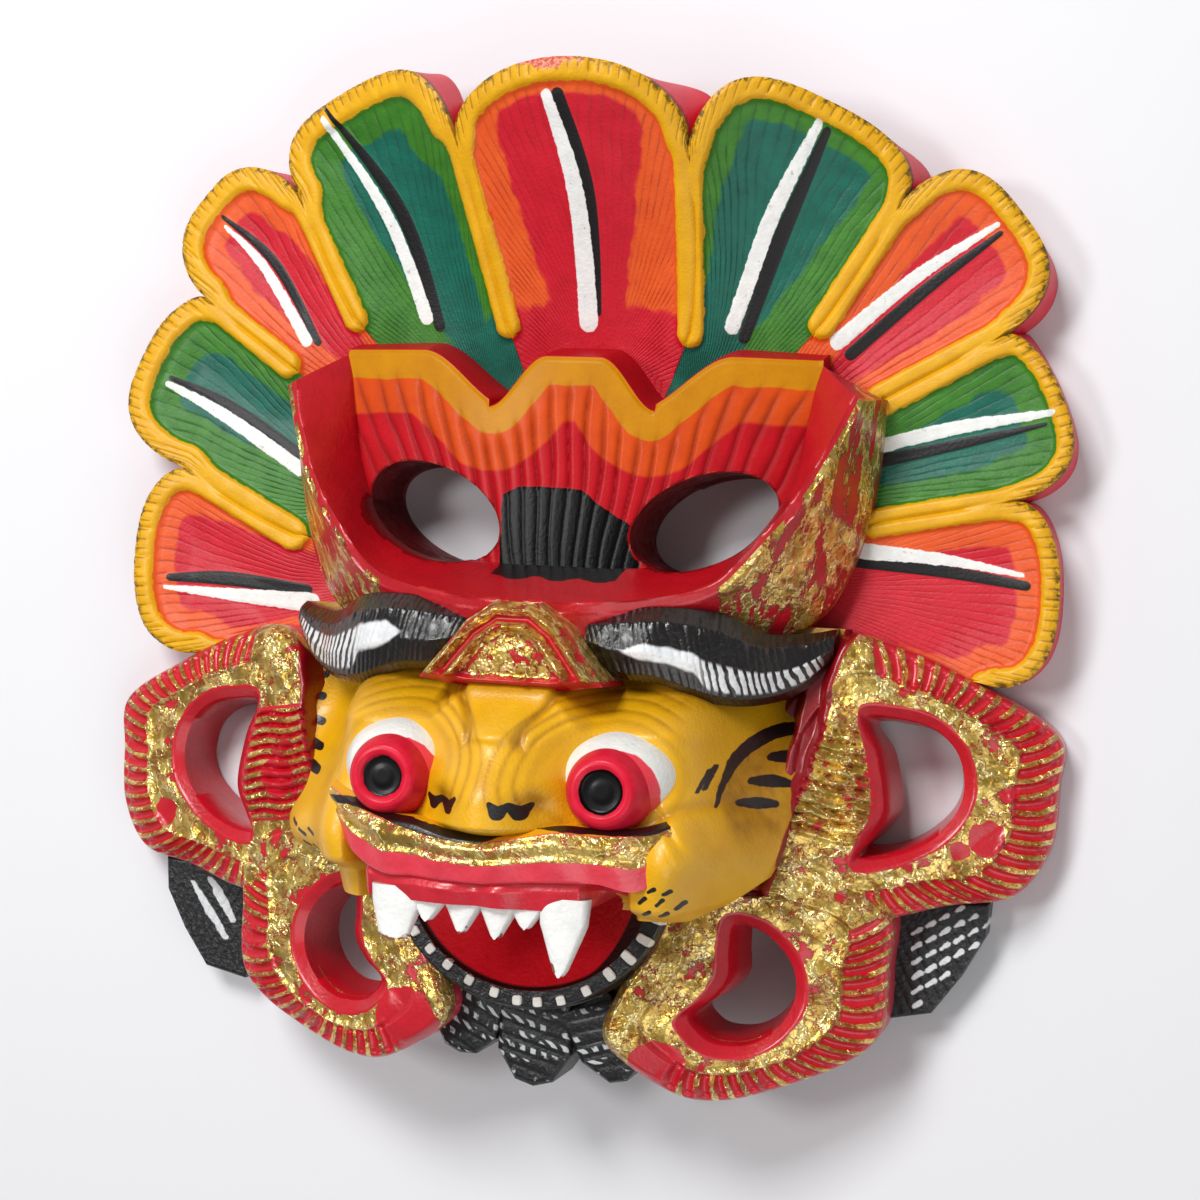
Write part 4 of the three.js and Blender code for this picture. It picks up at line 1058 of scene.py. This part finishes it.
# Jewel on the brow: a lozenge with a raised rim round a stepped middle, gilded, with red in its hollows.
JEWEL = np.array([(-13, -12.2), (-6.6, -4.2), (-2.6, -1.4), (3.2, -1.4), (7, -4.2), (13, -12.2), (6, -13.2),
                  (-6, -13.2)])
JEWEL_MIDDLE = -8.0
JEWEL_TOP = 42.4
# Heights of the foot and the upper edge of the wall round it
JEWEL_WALL = [[24.0], [40.2]]


def walked(corners, count):
    """A closed outline: even points along each side of a polygon, that many a side."""
    sides = zip(corners, np.roll(corners, -1, axis=0))
    return np.concatenate([np.linspace(start, end, count, endpoint=False) for start, end in sides])


def jewel_piece():
    """The outline drawn in towards the middle, level by level."""
    outline = walked(JEWEL, 34)
    scale = np.concatenate([[1, 1], np.linspace(1, 0.02, 66)])[:, None]
    x = outline[None, :, 0] * scale
    y = JEWEL_MIDDLE + (outline[None, :, 1] - JEWEL_MIDDLE) * scale
    inset = distance_to(x, y, np.vstack([JEWEL, JEWEL[:1]]))
    upper = distance_to(x, y, JEWEL[:6])
    top = JEWEL_TOP - 1.6 * (1 - smooth(inset, 0, 0.9)) + 1.0 * bump(inset - 1.1, 0.45)
    top += 1.5 * bump(upper - 3.4, 0.55) * smooth(y, -12.4, -11.4) - 0.5 * bump(upper - 2.3, 0.5)
    top += 0.5 * bump(x - 4.6 - 0.5 * (y + 8), 0.4) * smooth(upper, 3.6, 4.2)
    top -= 1.0 * smooth(-y, 8, 12.6) * smooth(upper, 3.6, 4.4)
    top[:2] = JEWEL_WALL
    sunk = bump(upper - 2.3, 0.5) + 0.6 * bump(upper - 4.6, 0.5) + 0.8 * smooth(-y, 10.6, 12)
    return carve("brow_jewel", spots(x, y, top), {"sunk": sunk})


def jewel_paint():
    """Gold leaf with red showing in the sunk parts."""
    paint = Paint("jewel_gold")
    red = paint.over(paint.grain(0.5, 3), (150, 10, 22), (196, 28, 40))
    gild(paint, paint.mark("sunk") * -1.8 + 1.1, red, torn=0.53, per_mm=0.4)
    return paint.material


join_to_mask(jewel_piece(), jewel_paint())


# Upper lip: a long ridge over the teeth with a gilded band and a black moustache line along it, pinkish red
# below, and the wet red gum behind, set back.
LIP = np.array([
    (-24.4, -27.9, 42.6, 3.6), (-20, -29.6, 45.8, 6.6), (-15, -31.2, 48, 7.2), (-10, -31.6, 49.2, 6.8),
    (-5, -32.8, 49.8, 5.8), (0, -33, 50, 5.6), (5, -32.2, 49.8, 5.9), (10, -31.2, 49.2, 6.6),
    (15, -31.4, 48, 6.4), (20, -31.0, 46.2, 7.6), (24, -29.7, 43.4, 6.2)])
LIP_BACK = 26.0
GUM_DEPTH = 3.0
GUM_FOOT = -42.0
LIP_FOOT = -39.5
# The black line over the lip: points with half widths
MOUSTACHE = [(-24.2, -29.4, 0.5), (-19, -29.6, 0.55), (-12, -31.2, 0.7), (-6, -32.4, 0.7), (-1, -32.6, 0.75),
             (2.4, -31.5, 0.7), (6.4, -30.5, 0.6), (12, -30.5, 0.7), (17, -30.2, 1.1), (21, -29.6, 1.5),
             (23.4, -29, 1.2)]


def lip_piece():
    """Stations across the mouth; each section runs over the ridge, down the lip and back to the gum."""
    path = drawn_through(LIP, 360)
    x, y, z, tall = (path[:, i] for i in range(4))
    foot = np.maximum(y - tall, LIP_FOOT)
    away = 5 * smooth(x, 12.5, 15) + 6 * smooth(-x, 17.5, 20.5)
    corners = np.stack([
        spots(*corner) for corner in (
            (x, y + 0.8, LIP_BACK), (x, y + 0.8, z - 2), (x, y, z - 0.4), (x, y - 0.28 * tall, z),
            (x, y - 0.55 * tall, z - 0.1), (x, foot, z - 1.2), (x, foot - 0.5, z - 2.2 - away),
            (x, foot - 1.4, z - 2.0 - away), (x, GUM_FOOT + 0.5 * away, z - GUM_DEPTH - away),
            (x, GUM_FOOT + 0.5 * away, LIP_BACK))], axis=1)
    sections = between_points(corners, (3, 8, 10, 10, 12, 6, 6, 8, 4))
    px, py = sections[..., 0], sections[..., 1]
    line = drawn_through(MOUSTACHE, 80)
    ink = distance_to(px, py, line[:, :2], line[:, 2])
    ink = np.where(sections[..., 2] > z[:, None] - 2.6, ink, 9.0)
    step = np.arange(sections.shape[1])[None, :]
    down = np.interp(step, [0, 3, 11, 21, 31, 43, 49, 55, 63, 67],
                     [-3, -0.8, 0, 0.28, 0.55, 1, 1.2, 1.4, 2, 3]) + 0 * px
    sections[..., 2] += 0.5 * bump(down - 0.2, 0.12) - 0.35 * bump(down - 0.45, 0.08)
    on_gum = smooth(down, 1.0, 1.3) * (down < 2.5)
    sections[..., 2] += 0.5 * np.sin(px * 0.55 + 1.3 * np.sin(px * 0.3)) * on_gum
    sections[..., 2] += 0.25 * np.sin(px * 0.8) * bump(down - 0.6, 0.4)
    sections[..., 2] = np.minimum(sections[..., 2], CAD_FRONT)
    return carve("upper_lip", sections, {"ink": ink, "down": down})


def lip_paint():
    """Gilded band above, pink lip and red gum below, and a black line brushed along the band."""
    paint = Paint("lip_paint", roughness=0.3, coat=0.4)
    soft = paint.grain(0.4, 3)
    down = paint.mark("down")
    pink = paint.over(soft, (196, 32, 48), (226, 72, 88))
    gum = paint.over(soft, (166, 10, 28), (208, 40, 58))
    ground = paint.over(paint.past(down, 1.05, 0.05), pink, gum)
    ground = paint.over(paint.past(-down, 0.02, 0.05), ground, (214, 150, 14))
    ink = paint.past(-paint.uneven(paint.mark("ink"), 0.15, 0.8), 0, 0.06)
    band = paint.past(down, 0.02, 0.02) * (1 - paint.past(paint.uneven(down, 0.06, 0.5), 0.58, 0.03))
    band = band * (1 - ink)
    ground = paint.over(ink, ground, (26, 16, 14))
    gild(paint, band * 3.6 - 1.8, ground, torn=0.6, per_mm=0.5)
    return paint.material


join_to_mask(lip_piece(), lip_paint())


# Upper teeth: four blunt front teeth between two fangs, the left one broad and broken, the right one long.
# Painted white and chipped to the brown wood at the tips.
TOOTH_ROOT = -40.2
TEETH = {
    "front_tooth_1": dict(x=-8.6, foot=-44.6, half=2.7, face=46, blunt=0.22),
    "front_tooth_2": dict(x=-3.7, foot=-45.8, half=2.7, face=46, blunt=0.22),
    "front_tooth_3": dict(x=1.2, foot=-46.2, half=2.7, face=46, blunt=0.22),
    "front_tooth_4": dict(x=5.2, foot=-44.6, half=2.7, face=46, blunt=0.22),
    "left_fang": dict(x=-13, foot=-47.4, half=3.5, face=46.5, blunt=0.55),
    "right_fang": dict(x=10.4, foot=-50.4, half=3.3, face=46.5, blunt=0.22)}


def tooth_piece(name, x, foot, half, face, blunt):
    """Rounded square rings from the root down, narrowing to a tip of the blunt share of the width."""
    t = np.linspace(0, 1, 40)[:, None]
    y = TOOTH_ROOT + (foot - TOOTH_ROOT) * t
    wide = half * np.interp(t, [0, 0.35, 1], [1.04, 0.97, blunt]) * (1 - 0.5 * smooth(t, 0.95, 1.0))
    deep = np.interp(t, [0, 0.5, 1], [4, 3.4, 1.6])
    around = np.linspace(0, 2 * np.pi, 48, endpoint=False)[None, :]
    c, s = np.cos(around), np.sin(around)
    px = x + wide * np.sign(c) * np.abs(c) ** 0.6
    pz = face - deep / 2 + deep / 2 * np.sign(s) * np.abs(s) ** 0.6
    py = y + 0.15 * np.sin(3 * around) * t
    return carve(name, spots(px, py, pz), {"tip": t})


def tooth_paint():
    """Chalky white, chipped to the brown wood near the tip."""
    paint = Paint("tooth_paint", roughness=0.32, coat=0.3)
    chalk = paint.over(paint.grain(0.4, 3), (200, 202, 202), (234, 232, 226))
    chip = paint.past(paint.uneven(paint.mark("tip"), 0.5, 0.5), 0.98, 0.04)
    paint.feed("Base Color", paint.over(chip, chalk, (120, 70, 44)))
    paint.emboss(paint.grain(1.2, 4), 0.15)
    return paint.material


chipped_white = tooth_paint()
for tooth_name, tooth in TEETH.items():
    join_to_mask(tooth_piece(tooth_name, **tooth), chipped_white)


# Lower jaw: half a dish hanging below the muzzle. Its rim is black with a row of small white squares for
# teeth, the dish inside is red.
JAW = dict(y=-39.5, half_wide=21.0, deep=19.4, floor=17.0, rim=27.5, lip=0.85)
JAW_BACK = 0.45
JAW_TEETH = [(-19.4, -44.2), (-18.1, -46.6), (-16.3, -49), (-13.8, -51.3), (-11.1, -53.3), (-7.8, -55.2),
             (-4, -56.6), (-0.6, -57.4), (2.4, -57.4), (5.8, -56.9), (9.4, -55.2), (12.6, -52.6),
             (15.2, -50), (17.4, -47.4), (19.2, -44.4)]


def jaw_piece():
    """Spokes of half a dish from its middle to its rim; the small teeth stand proud of the rim."""
    angle = np.pi * np.linspace(1, 2, 320)[:, None]
    along = np.concatenate([
        np.linspace(0.02, 0.8, 40), np.linspace(0.815, 0.975, 30), np.linspace(0.98, 1, 6)])
    x = JAW["half_wide"] * along * np.cos(angle)
    y = JAW["y"] + JAW["deep"] * along * np.sin(angle)
    dish = JAW["floor"] + (JAW["rim"] - 1 - JAW["floor"]) * (along / JAW["lip"]) ** 1.5
    z = np.where(along > JAW["lip"], JAW["rim"], dish) - 1.5 * smooth(along, 0.965, 1.0) + 0 * x
    spot = np.full_like(x, 9.0)
    for tx, ty in JAW_TEETH:
        turn = np.arctan2((ty - JAW["y"]) / JAW["deep"], tx / JAW["half_wide"])
        away = (x - tx) * np.cos(turn) + (y - ty) * np.sin(turn)
        beside = -(x - tx) * np.sin(turn) + (y - ty) * np.cos(turn)
        tall = 0.72 + 0.5 * smooth(tx, 8, 17)
        spot = np.minimum(spot, (np.abs(away / tall) ** 4 + np.abs(beside / 0.68) ** 4) ** 0.25 - 1)
    z += 0.45 * smooth(-spot, -0.12, 0.12)
    back_x, back_y = x[:, ::-15], y[:, ::-15]
    back = spots(back_x, back_y, np.maximum(JAW_BACK, hollow_depth(back_x, back_y)))
    return carve("lower_jaw", np.concatenate([spots(x, y, z), back], axis=1), {
        "tooth": (spot, 9), "along": (along + 0.1 * smooth(x, 9, 16), 1.2)})


def jaw_paint():
    """Red dish, darker in the middle as painted shade behind the teeth, a black rim with small white teeth,
    and a dark red wall.
    """
    paint = Paint("jaw_paint", roughness=0.32, coat=0.3)
    soft = paint.grain(0.4, 3)
    along = paint.mark("along")
    red = paint.over(soft, (196, 10, 26), (226, 34, 48))
    # Darker red in the middle of the dish, under the upper teeth: painted shade.
    red = paint.over(paint.past(along, 0.36, 0.12), (110, 6, 12), red)
    coat = paint.over(paint.past(along, 0.83, 0.01), red, (22, 17, 17))
    coat = paint.over(paint.past(along, 1.1, 0.01), coat, (150, 12, 26))
    tooth = paint.past(-paint.uneven(paint.mark("tooth"), 0.12, 0.8), 0, 0.05)
    coat = paint.over(tooth, coat, (224, 222, 214))
    paint.feed("Base Color", coat)
    paint.emboss(paint.grain(1.4, 4), 0.15)
    return paint.material


join_to_mask(jaw_piece(), jaw_paint())


# Beard: three black lobes under the jaw with slanting rows of short white dashes.
BEARD_LOBES = {
    "beard_left": dict(x=-9.6, y=-60, turn=12, reach=7.4, half=5.0),
    "beard_middle": dict(x=0.2, y=-61, turn=0, reach=10.0, half=5.6),
    "beard_right": dict(x=8.4, y=-60, turn=-32, reach=10.5, half=4.6)}
BEARD_BACK = 9.0
BEARD_FRONT = 21.0


def beard_lobe(name, x, y, turn, reach, half):
    """Level rings drawn in towards the lobe's middle: a wall, a rounded edge and a slightly domed front."""
    outline = walked(np.array([
        (-half, 3), (half, 3), (half, -0.5 * reach), (0.5 * half, -0.92 * reach), (0, -reach),
        (-0.5 * half, -0.92 * reach), (-half, -0.5 * reach)]), 20)
    edge = np.linspace(0, 1, 8)
    scale = np.concatenate([[1, 1], 1 - 0.12 * edge ** 1.5, np.linspace(0.85, 0.02, 24)])[:, None]
    height = np.concatenate([[BEARD_BACK, 14], BEARD_FRONT - 1.6 + 1.3 * edge ** 0.6,
                             BEARD_FRONT - 0.25 * np.linspace(0.9, 0, 24)])[:, None]
    middle = 3 - (3 + reach) / 2
    px = outline[None, :, 0] * scale
    py = middle + (outline[None, :, 1] - middle) * scale
    c, s = np.cos(np.radians(-turn)), np.sin(np.radians(-turn))
    row = (py + 0.25 * px) / 1.9
    on_top = smooth(1 - scale, 0.02, 0.1)
    z = height - 0.12 * (1 - waves(row)) ** 1.5 * on_top
    return carve(name, spots(x + px * c - py * s, y + px * s + py * c, z), {
        "row": row, "dash": (px + 0.6 * py + 0.35 * np.sin(py * 2)) / 1.6, "top": on_top})


def beard_paint():
    """Black, with a row of white dashes on each ridge of hair."""
    paint = Paint("beard_paint", roughness=0.42, coat=0.1)
    dash = paint.math("SINE", paint.mark("dash") * (2 * np.pi))
    white = paint.past(paint.wave(paint.mark("row")), 0.8, 0.1) * paint.past(dash, 0.05, 0.3)
    white = white * paint.past(paint.grain(0.3, 4), 0.51, 0.04) * paint.mark("top")
    black = paint.over(paint.grain(0.5, 3), (6, 7, 8), (18, 18, 21))
    paint.feed("Base Color", paint.over(white, black, (190, 194, 196)))
    paint.emboss(paint.grain(1.6, 4), 0.2)
    return paint.material


black_hair = beard_paint()
for lobe_name, lobe in BEARD_LOBES.items():
    join_to_mask(beard_lobe(lobe_name, **lobe), black_hair)


# Ear ornaments: an upper and a lower openwork ring each side, carved with the block, with a red lip round
# the hole, gold leaf over the flat and a border of red ribs with gold along their ridges. A shell fan lies
# beside the upper hole.
# Spokes from the edge of each hole to the outer edge, on the viewer's right: hole x, y, outer x, y
UPPER_RING = np.array([
    (44.9, -15.4, 40.2, -4.2), (49.5, -15.2, 50, -5.6), (54, -16.4, 60.5, -10.2), (57.4, -19.6, 71, -16.6),
    (58.6, -24.4, 71.4, -24.4), (57.4, -28.6, 70.6, -33), (53.8, -32.4, 66, -39.6), (49.2, -34.6, 57, -41.4),
    (44.8, -35, 44, -44), (46, -32.4, 32, -38), (48, -28, 30, -28), (46.8, -20.6, 31, -16)])
LOWER_RING = np.array([
    (28.8, -45, 23, -38), (32.3, -45.8, 36, -36), (35.3, -48.3, 48.8, -41.6), (37.1, -51.5, 49.6, -51),
    (37.2, -55.5, 49, -59.4), (35.2, -59.2, 44.6, -64), (31.8, -61.6, 36, -67.8), (28, -62, 28, -70),
    (25.2, -61, 21, -69), (23.2, -58.2, 12, -62.4), (26.2, -55.6, 13.5, -55), (28.2, -52.5, 17, -49),
    (28.2, -48.5, 19, -43)])
RING_THICK = 11.0
RING_OUTER_Z = 7.5
RING_SLOPE = 0.34
RING_FAR = 72.0
RING_BORDER = 6.0
RING_RED_LIP = 1.9
RING_TRIM = 0.04
RIB_STEP = 2.55
# The shell fan: the stations round the hole that it lies between, and the width of its ridges
FAN = (8.6, 11.85, 1.62)
# Carved by hand, the left ornament isn't quite the mirror of the right: shifted, stepped back further and
# set behind a wider strip beside the face
LEFT_UPPER_SHIFT = (2.8, -3.2)
LEFT_LOWER_SHIFT = (-0.8, 1.2)
STEP_BACK = {1: 2.0, -1: 6.0}
STRIP = {1: 0.0, -1: 3.8}


def ring_piece(name, spokes, shift, side, lift, back, ribs_from, ribs_to, fan=None):
    """Stations round the hole; each section runs up the hole's wall, out over lip, flat and border, and
    down. Ribs are thin ridges between scoops of depth |sin| across the border; the fan's ridges run level
    from hole to face."""
    path = drawn_through(spokes + np.array([*shift, *shift]), 380, closed=True)
    a, b = path[:, :2], path[:, 2:]
    width = np.linalg.norm(b - a, axis=1)[:, None]
    b = b - RING_TRIM * (b - a) / width
    border = np.minimum(RING_BORDER, width / 2)
    first = width - border
    t = np.concatenate([np.linspace(0, 0.12, 6), np.linspace(0.14, 0.55, 20), np.linspace(0.57, 0.97, 33),
                        np.linspace(0.976, 1, 5)])[None, :]
    out = width * t
    profile = np.where(out < 1.6, -1.4 * (1 - out / 1.6), -0.2 * (out - 1.6) / np.maximum(first - 1.6, 0.1))
    past = out - first
    fall = np.clip((past - 0.7) / np.maximum(border - 2.3, 0.1), 0, 1)
    profile = np.where(past > 0, -0.2 + 0.7 * smooth(past, 0, 0.7) - 0.7 * fall, profile)
    rounded = np.clip((out - width + 1.6) / 1.6, 0, 1) ** 1.6
    profile = np.where(out > width - 1.6, -0.2 - 2.2 * rounded, profile)
    x = a[:, :1] + (b - a)[:, :1] * t
    y = a[:, 1:] + (b - a)[:, 1:] * t
    run = run_along(b)
    station = np.linspace(0, len(spokes), len(path), endpoint=False)[:, None]
    ribbed = smooth(station, ribs_from - 0.2, ribs_from + 0.2)
    ribbed = ribbed * (1 - smooth(station, ribs_to - 0.2, ribs_to + 0.2))
    on_border = smooth(past, -0.3, 0.6)
    rib = run / RIB_STEP + 0.02 * past ** 2 + 0.12 * np.sin(run * 0.37)
    scoop = waves(rib) ** 0.9
    reach = smooth(border - past, 0.2, 1.2)
    relief = -1.25 * scoop * ribbed * on_border * reach
    relief += 0.6 * bump(past + 0.2, 0.5) * (1 - 0.5 * scoop) * ribbed
    beside = ornament_edge(y - shift[1]) - STRIP[side] + 0.1 * np.sin(y * 1.3) - (x - shift[0])
    fan_field = 0 * x
    if fan is not None:
        low, high, pitch = fan
        level = y - shift[1] + 0.16 * (x - shift[0] - 46)
        rows = level / pitch + 0.15 * np.sin(0.8 * x)
        fan_field = smooth(station, low - 0.1, low + 0.1) * (1 - smooth(station, high - 0.1, high + 0.1))
        fan_field = fan_field * smooth(out, 1.6, 2.4)
        fan_field *= smooth(-level, 16.4, 17.4) * (1 - smooth(-level, 33, 34))
        fan_field *= 1 - smooth(beside, -0.4, 0.2)
        relief += 1.2 * (waves(rows) ** 0.9 - 0.5) * fan_field
        fan_field = fan_field * (0.2 + waves(rows))
    relief += 0.22 * np.sin(x * 0.9 + 1.7 * np.sin(y * 0.7)) * (1 - on_border) * smooth(out, 1.6, 3)
    z = RING_OUTER_Z + RING_SLOPE * (RING_FAR - x) + lift + profile + relief
    beside = np.where(y - shift[1] > -41, beside, -9)
    z -= STEP_BACK[side] * smooth(beside, -0.2, 1.2) + 5 * smooth(beside, 3, 5)
    front = spots(x, y, np.maximum(z, 1))
    under_hole = a - 1.2 * (b - a) / width
    level = RING_OUTER_Z + RING_SLOPE * (RING_FAR - path[:, [0, 2]]) + lift - RING_THICK - 1.5
    level = np.maximum(back, level)
    under = np.stack([np.column_stack([b, level[:, 1]]), np.column_stack([under_hole, level[:, 0]])], axis=1)
    under[..., 2] = np.minimum(under[..., 2], front[:, [-1, 0], 2] - 0.5)
    wall_out = front[:, -1:] * 0.5 + under[:, :1] * 0.5
    wall_in = front[:, :1] * 0.5 + under[:, 1:] * 0.5
    sections = np.concatenate([front, wall_out, under, wall_in], axis=1)
    sections[..., 0] *= side
    return carve(name, sections, {
        "out": (out, -2), "past": (past, 9), "rib": (rib, 0), "ribbed": (ribbed + 0 * x, 0),
        "fan": (fan_field, 0), "beside": (beside, -9), "edge": (0 * x, [1, 1, -1, -1])}, ends_meet=True)


def ring_paint(name, fan_leaf, bare):
    """Red lip, gold flat, red ribs with torn gold on their ridges, rose outer wall, bare red spots."""
    paint = Paint(name, roughness=0.3, coat=0.35)
    soft = paint.grain(0.35, 3)
    red = paint.over(soft, (158, 8, 24), (200, 24, 44))
    red = paint.over(paint.past(paint.mark("edge"), 0.5), red, (206, 48, 70))
    # Beside the face, where the ring sinks under it, the red is laid darker: painted shade between the
    # parts.
    beside = paint.past(paint.mark("beside"), -0.6, 0.3)
    red = paint.over(beside, red, (128, 8, 22))
    out = paint.uneven(paint.mark("out"), 0.35, 0.5)
    past = paint.uneven(paint.mark("past"), 0.6, 0.5)
    ridge = paint.wave(paint.uneven(paint.mark("rib"), 0.1, 0.5) + 0.5)
    ridge = paint.past(ridge, 0.83, 0.05) * 4.4 - 2.9
    on_rib = paint.past(past, 0.1, 0.2) * paint.mark("ribbed")
    field = paint.past(out, RING_RED_LIP, 0.1) * 3.0 - 1.9
    fan = paint.mark("fan")
    on_ridge = paint.past(paint.uneven(fan, 0.2, 0.6), 0.85, 0.08)
    field = paint.level(paint.past(fan, 0.1, 0.05), field, on_ridge * 3.6 + fan_leaf)
    field = paint.level(on_rib, field, ridge)
    for spot_x, spot_y, reach in bare:
        away = paint.uneven(paint.away_from(spot_x, spot_y), 1.2, 0.35)
        field = paint.level(paint.past(away, reach, 0.3), -3, field)
    off = paint.math("MAXIMUM", paint.past(abs(paint.mark("edge")), 0.5), beside)
    gild(paint, paint.level(off, field, -3), red, torn=0.53, per_mm=0.22)
    return paint.material


# What differs between the two sides: shifts, gold on the fan, and the bare red spots as x, y and radius
ORNAMENTS = {
    "right": dict(side=1, upper_shift=(0, 0), lower_shift=(0, 0), fan_leaf=0.9,
                  upper_bare=[(62, -31.4, 2.4), (58.6, -33.4, 1.2)], lower_bare=[(19.4, -65.5, 3.8)]),
    "left": dict(side=-1, upper_shift=LEFT_UPPER_SHIFT, lower_shift=LEFT_LOWER_SHIFT, fan_leaf=-2.5,
                 upper_bare=[(-64, -37, 2.0), (-42.6, -29.5, 2.8)],
                 lower_bare=[(-17.5, -62, 5.0), (-46, -54, 2.2)]),
}
for side_name, each in ORNAMENTS.items():
    upper = ring_piece(side_name + "_upper_ring", UPPER_RING, each["upper_shift"], each["side"],
                       lift=0, back=0.5, ribs_from=0.6, ribs_to=7.8, fan=FAN)
    join_to_mask(upper, ring_paint(side_name + "_upper_paint", each["fan_leaf"], each["upper_bare"]))
    lower = ring_piece(side_name + "_lower_ring", LOWER_RING, each["lower_shift"], each["side"],
                       lift=0.5, back=0.6, ribs_from=2.2, ribs_to=8.2)
    join_to_mask(lower, ring_paint(side_name + "_lower_paint", each["fan_leaf"], each["lower_bare"]))


# Tufts: a flat black lock of hair in the gap between each pair of rings, with rows of short white strokes.
TUFT = np.array([(45, -42), (62.6, -41), (62.2, -46), (59, -52), (55, -57.6), (48.5, -59)])
TUFT_THICK = 6.0
TUFT_BACK = 0.2


def tuft_piece(name, shift, side, strokes):
    """The outline drawn in towards its middle: wall, rounded edge and flat front with hair cuts."""
    outline = walked(TUFT + np.array(shift), 26)
    middle = outline.mean(axis=0)
    edge = np.linspace(0, 1, 6)
    scale = np.concatenate([[1, 1], 1 - 0.06 * edge ** 1.6, np.linspace(0.9, 0.02, 40)])[:, None]
    height = np.concatenate([[TUFT_BACK, TUFT_THICK - 1], TUFT_THICK - 0.9 + 0.85 * edge ** 0.6,
                             np.full(40, TUFT_THICK - 0.05)])[:, None]
    x = middle[0] + (outline[None, :, 0] - middle[0]) * scale
    y = middle[1] + (outline[None, :, 1] - middle[1]) * scale
    z = height - 0.15 * (1 - waves((x + 0.55 * y) / 1.7)) ** 1.5 * smooth(1 - scale, 0.03, 0.1)
    white = np.full_like(x, 9.0)
    for stroke in strokes:
        line = drawn_through(stroke, 10)
        white = np.minimum(white, distance_to(x * side, y, line[:, :2], line[:, 2]))
    return carve(name, spots(x * side, y, z), {"white": white})


def tuft_paint():
    """Black, with the white strokes dabbed on."""
    paint = Paint("tuft_paint", roughness=0.42, coat=0.1)
    black = paint.over(paint.grain(0.5, 3), (6, 7, 9), (17, 18, 22))
    white = paint.past(-paint.uneven(paint.mark("white"), 0.35, 0.8), 0, 0.1)
    paint.feed("Base Color", paint.over(white, black, (196, 200, 202)))
    paint.emboss(paint.grain(1.4, 4) + white * 0.6, 0.25)
    return paint.material


# Rows of slanting dabs on the right, two long strokes on the left: points with half widths
RIGHT_DABS = [
    [(51.8 + 1.95 * j + 0.12 * i, -46.4 - 2.1 * i + 1.2 * j, 0.25),
     (52.8 + 1.95 * j + 0.12 * i, -45.6 - 2.1 * i + 1.2 * j, 0.42)]
    for i, row in enumerate((4, 5, 6, 5, 3, 1)) for j in range(row)]
LEFT_STROKES = [[(-60.8, -47.9, 0.3), (-58.2, -51.4, 0.7), (-54.8, -56.0, 0.5)],
                [(-57.8, -47.2, 0.4), (-55.9, -49.8, 0.8), (-53.6, -53.4, 0.5)]]
join_to_mask(tuft_piece("right_tuft", (0, 0), 1, RIGHT_DABS), tuft_paint())
join_to_mask(tuft_piece("left_tuft", LEFT_UPPER_SHIFT, -1, LEFT_STROKES), tuft_paint())
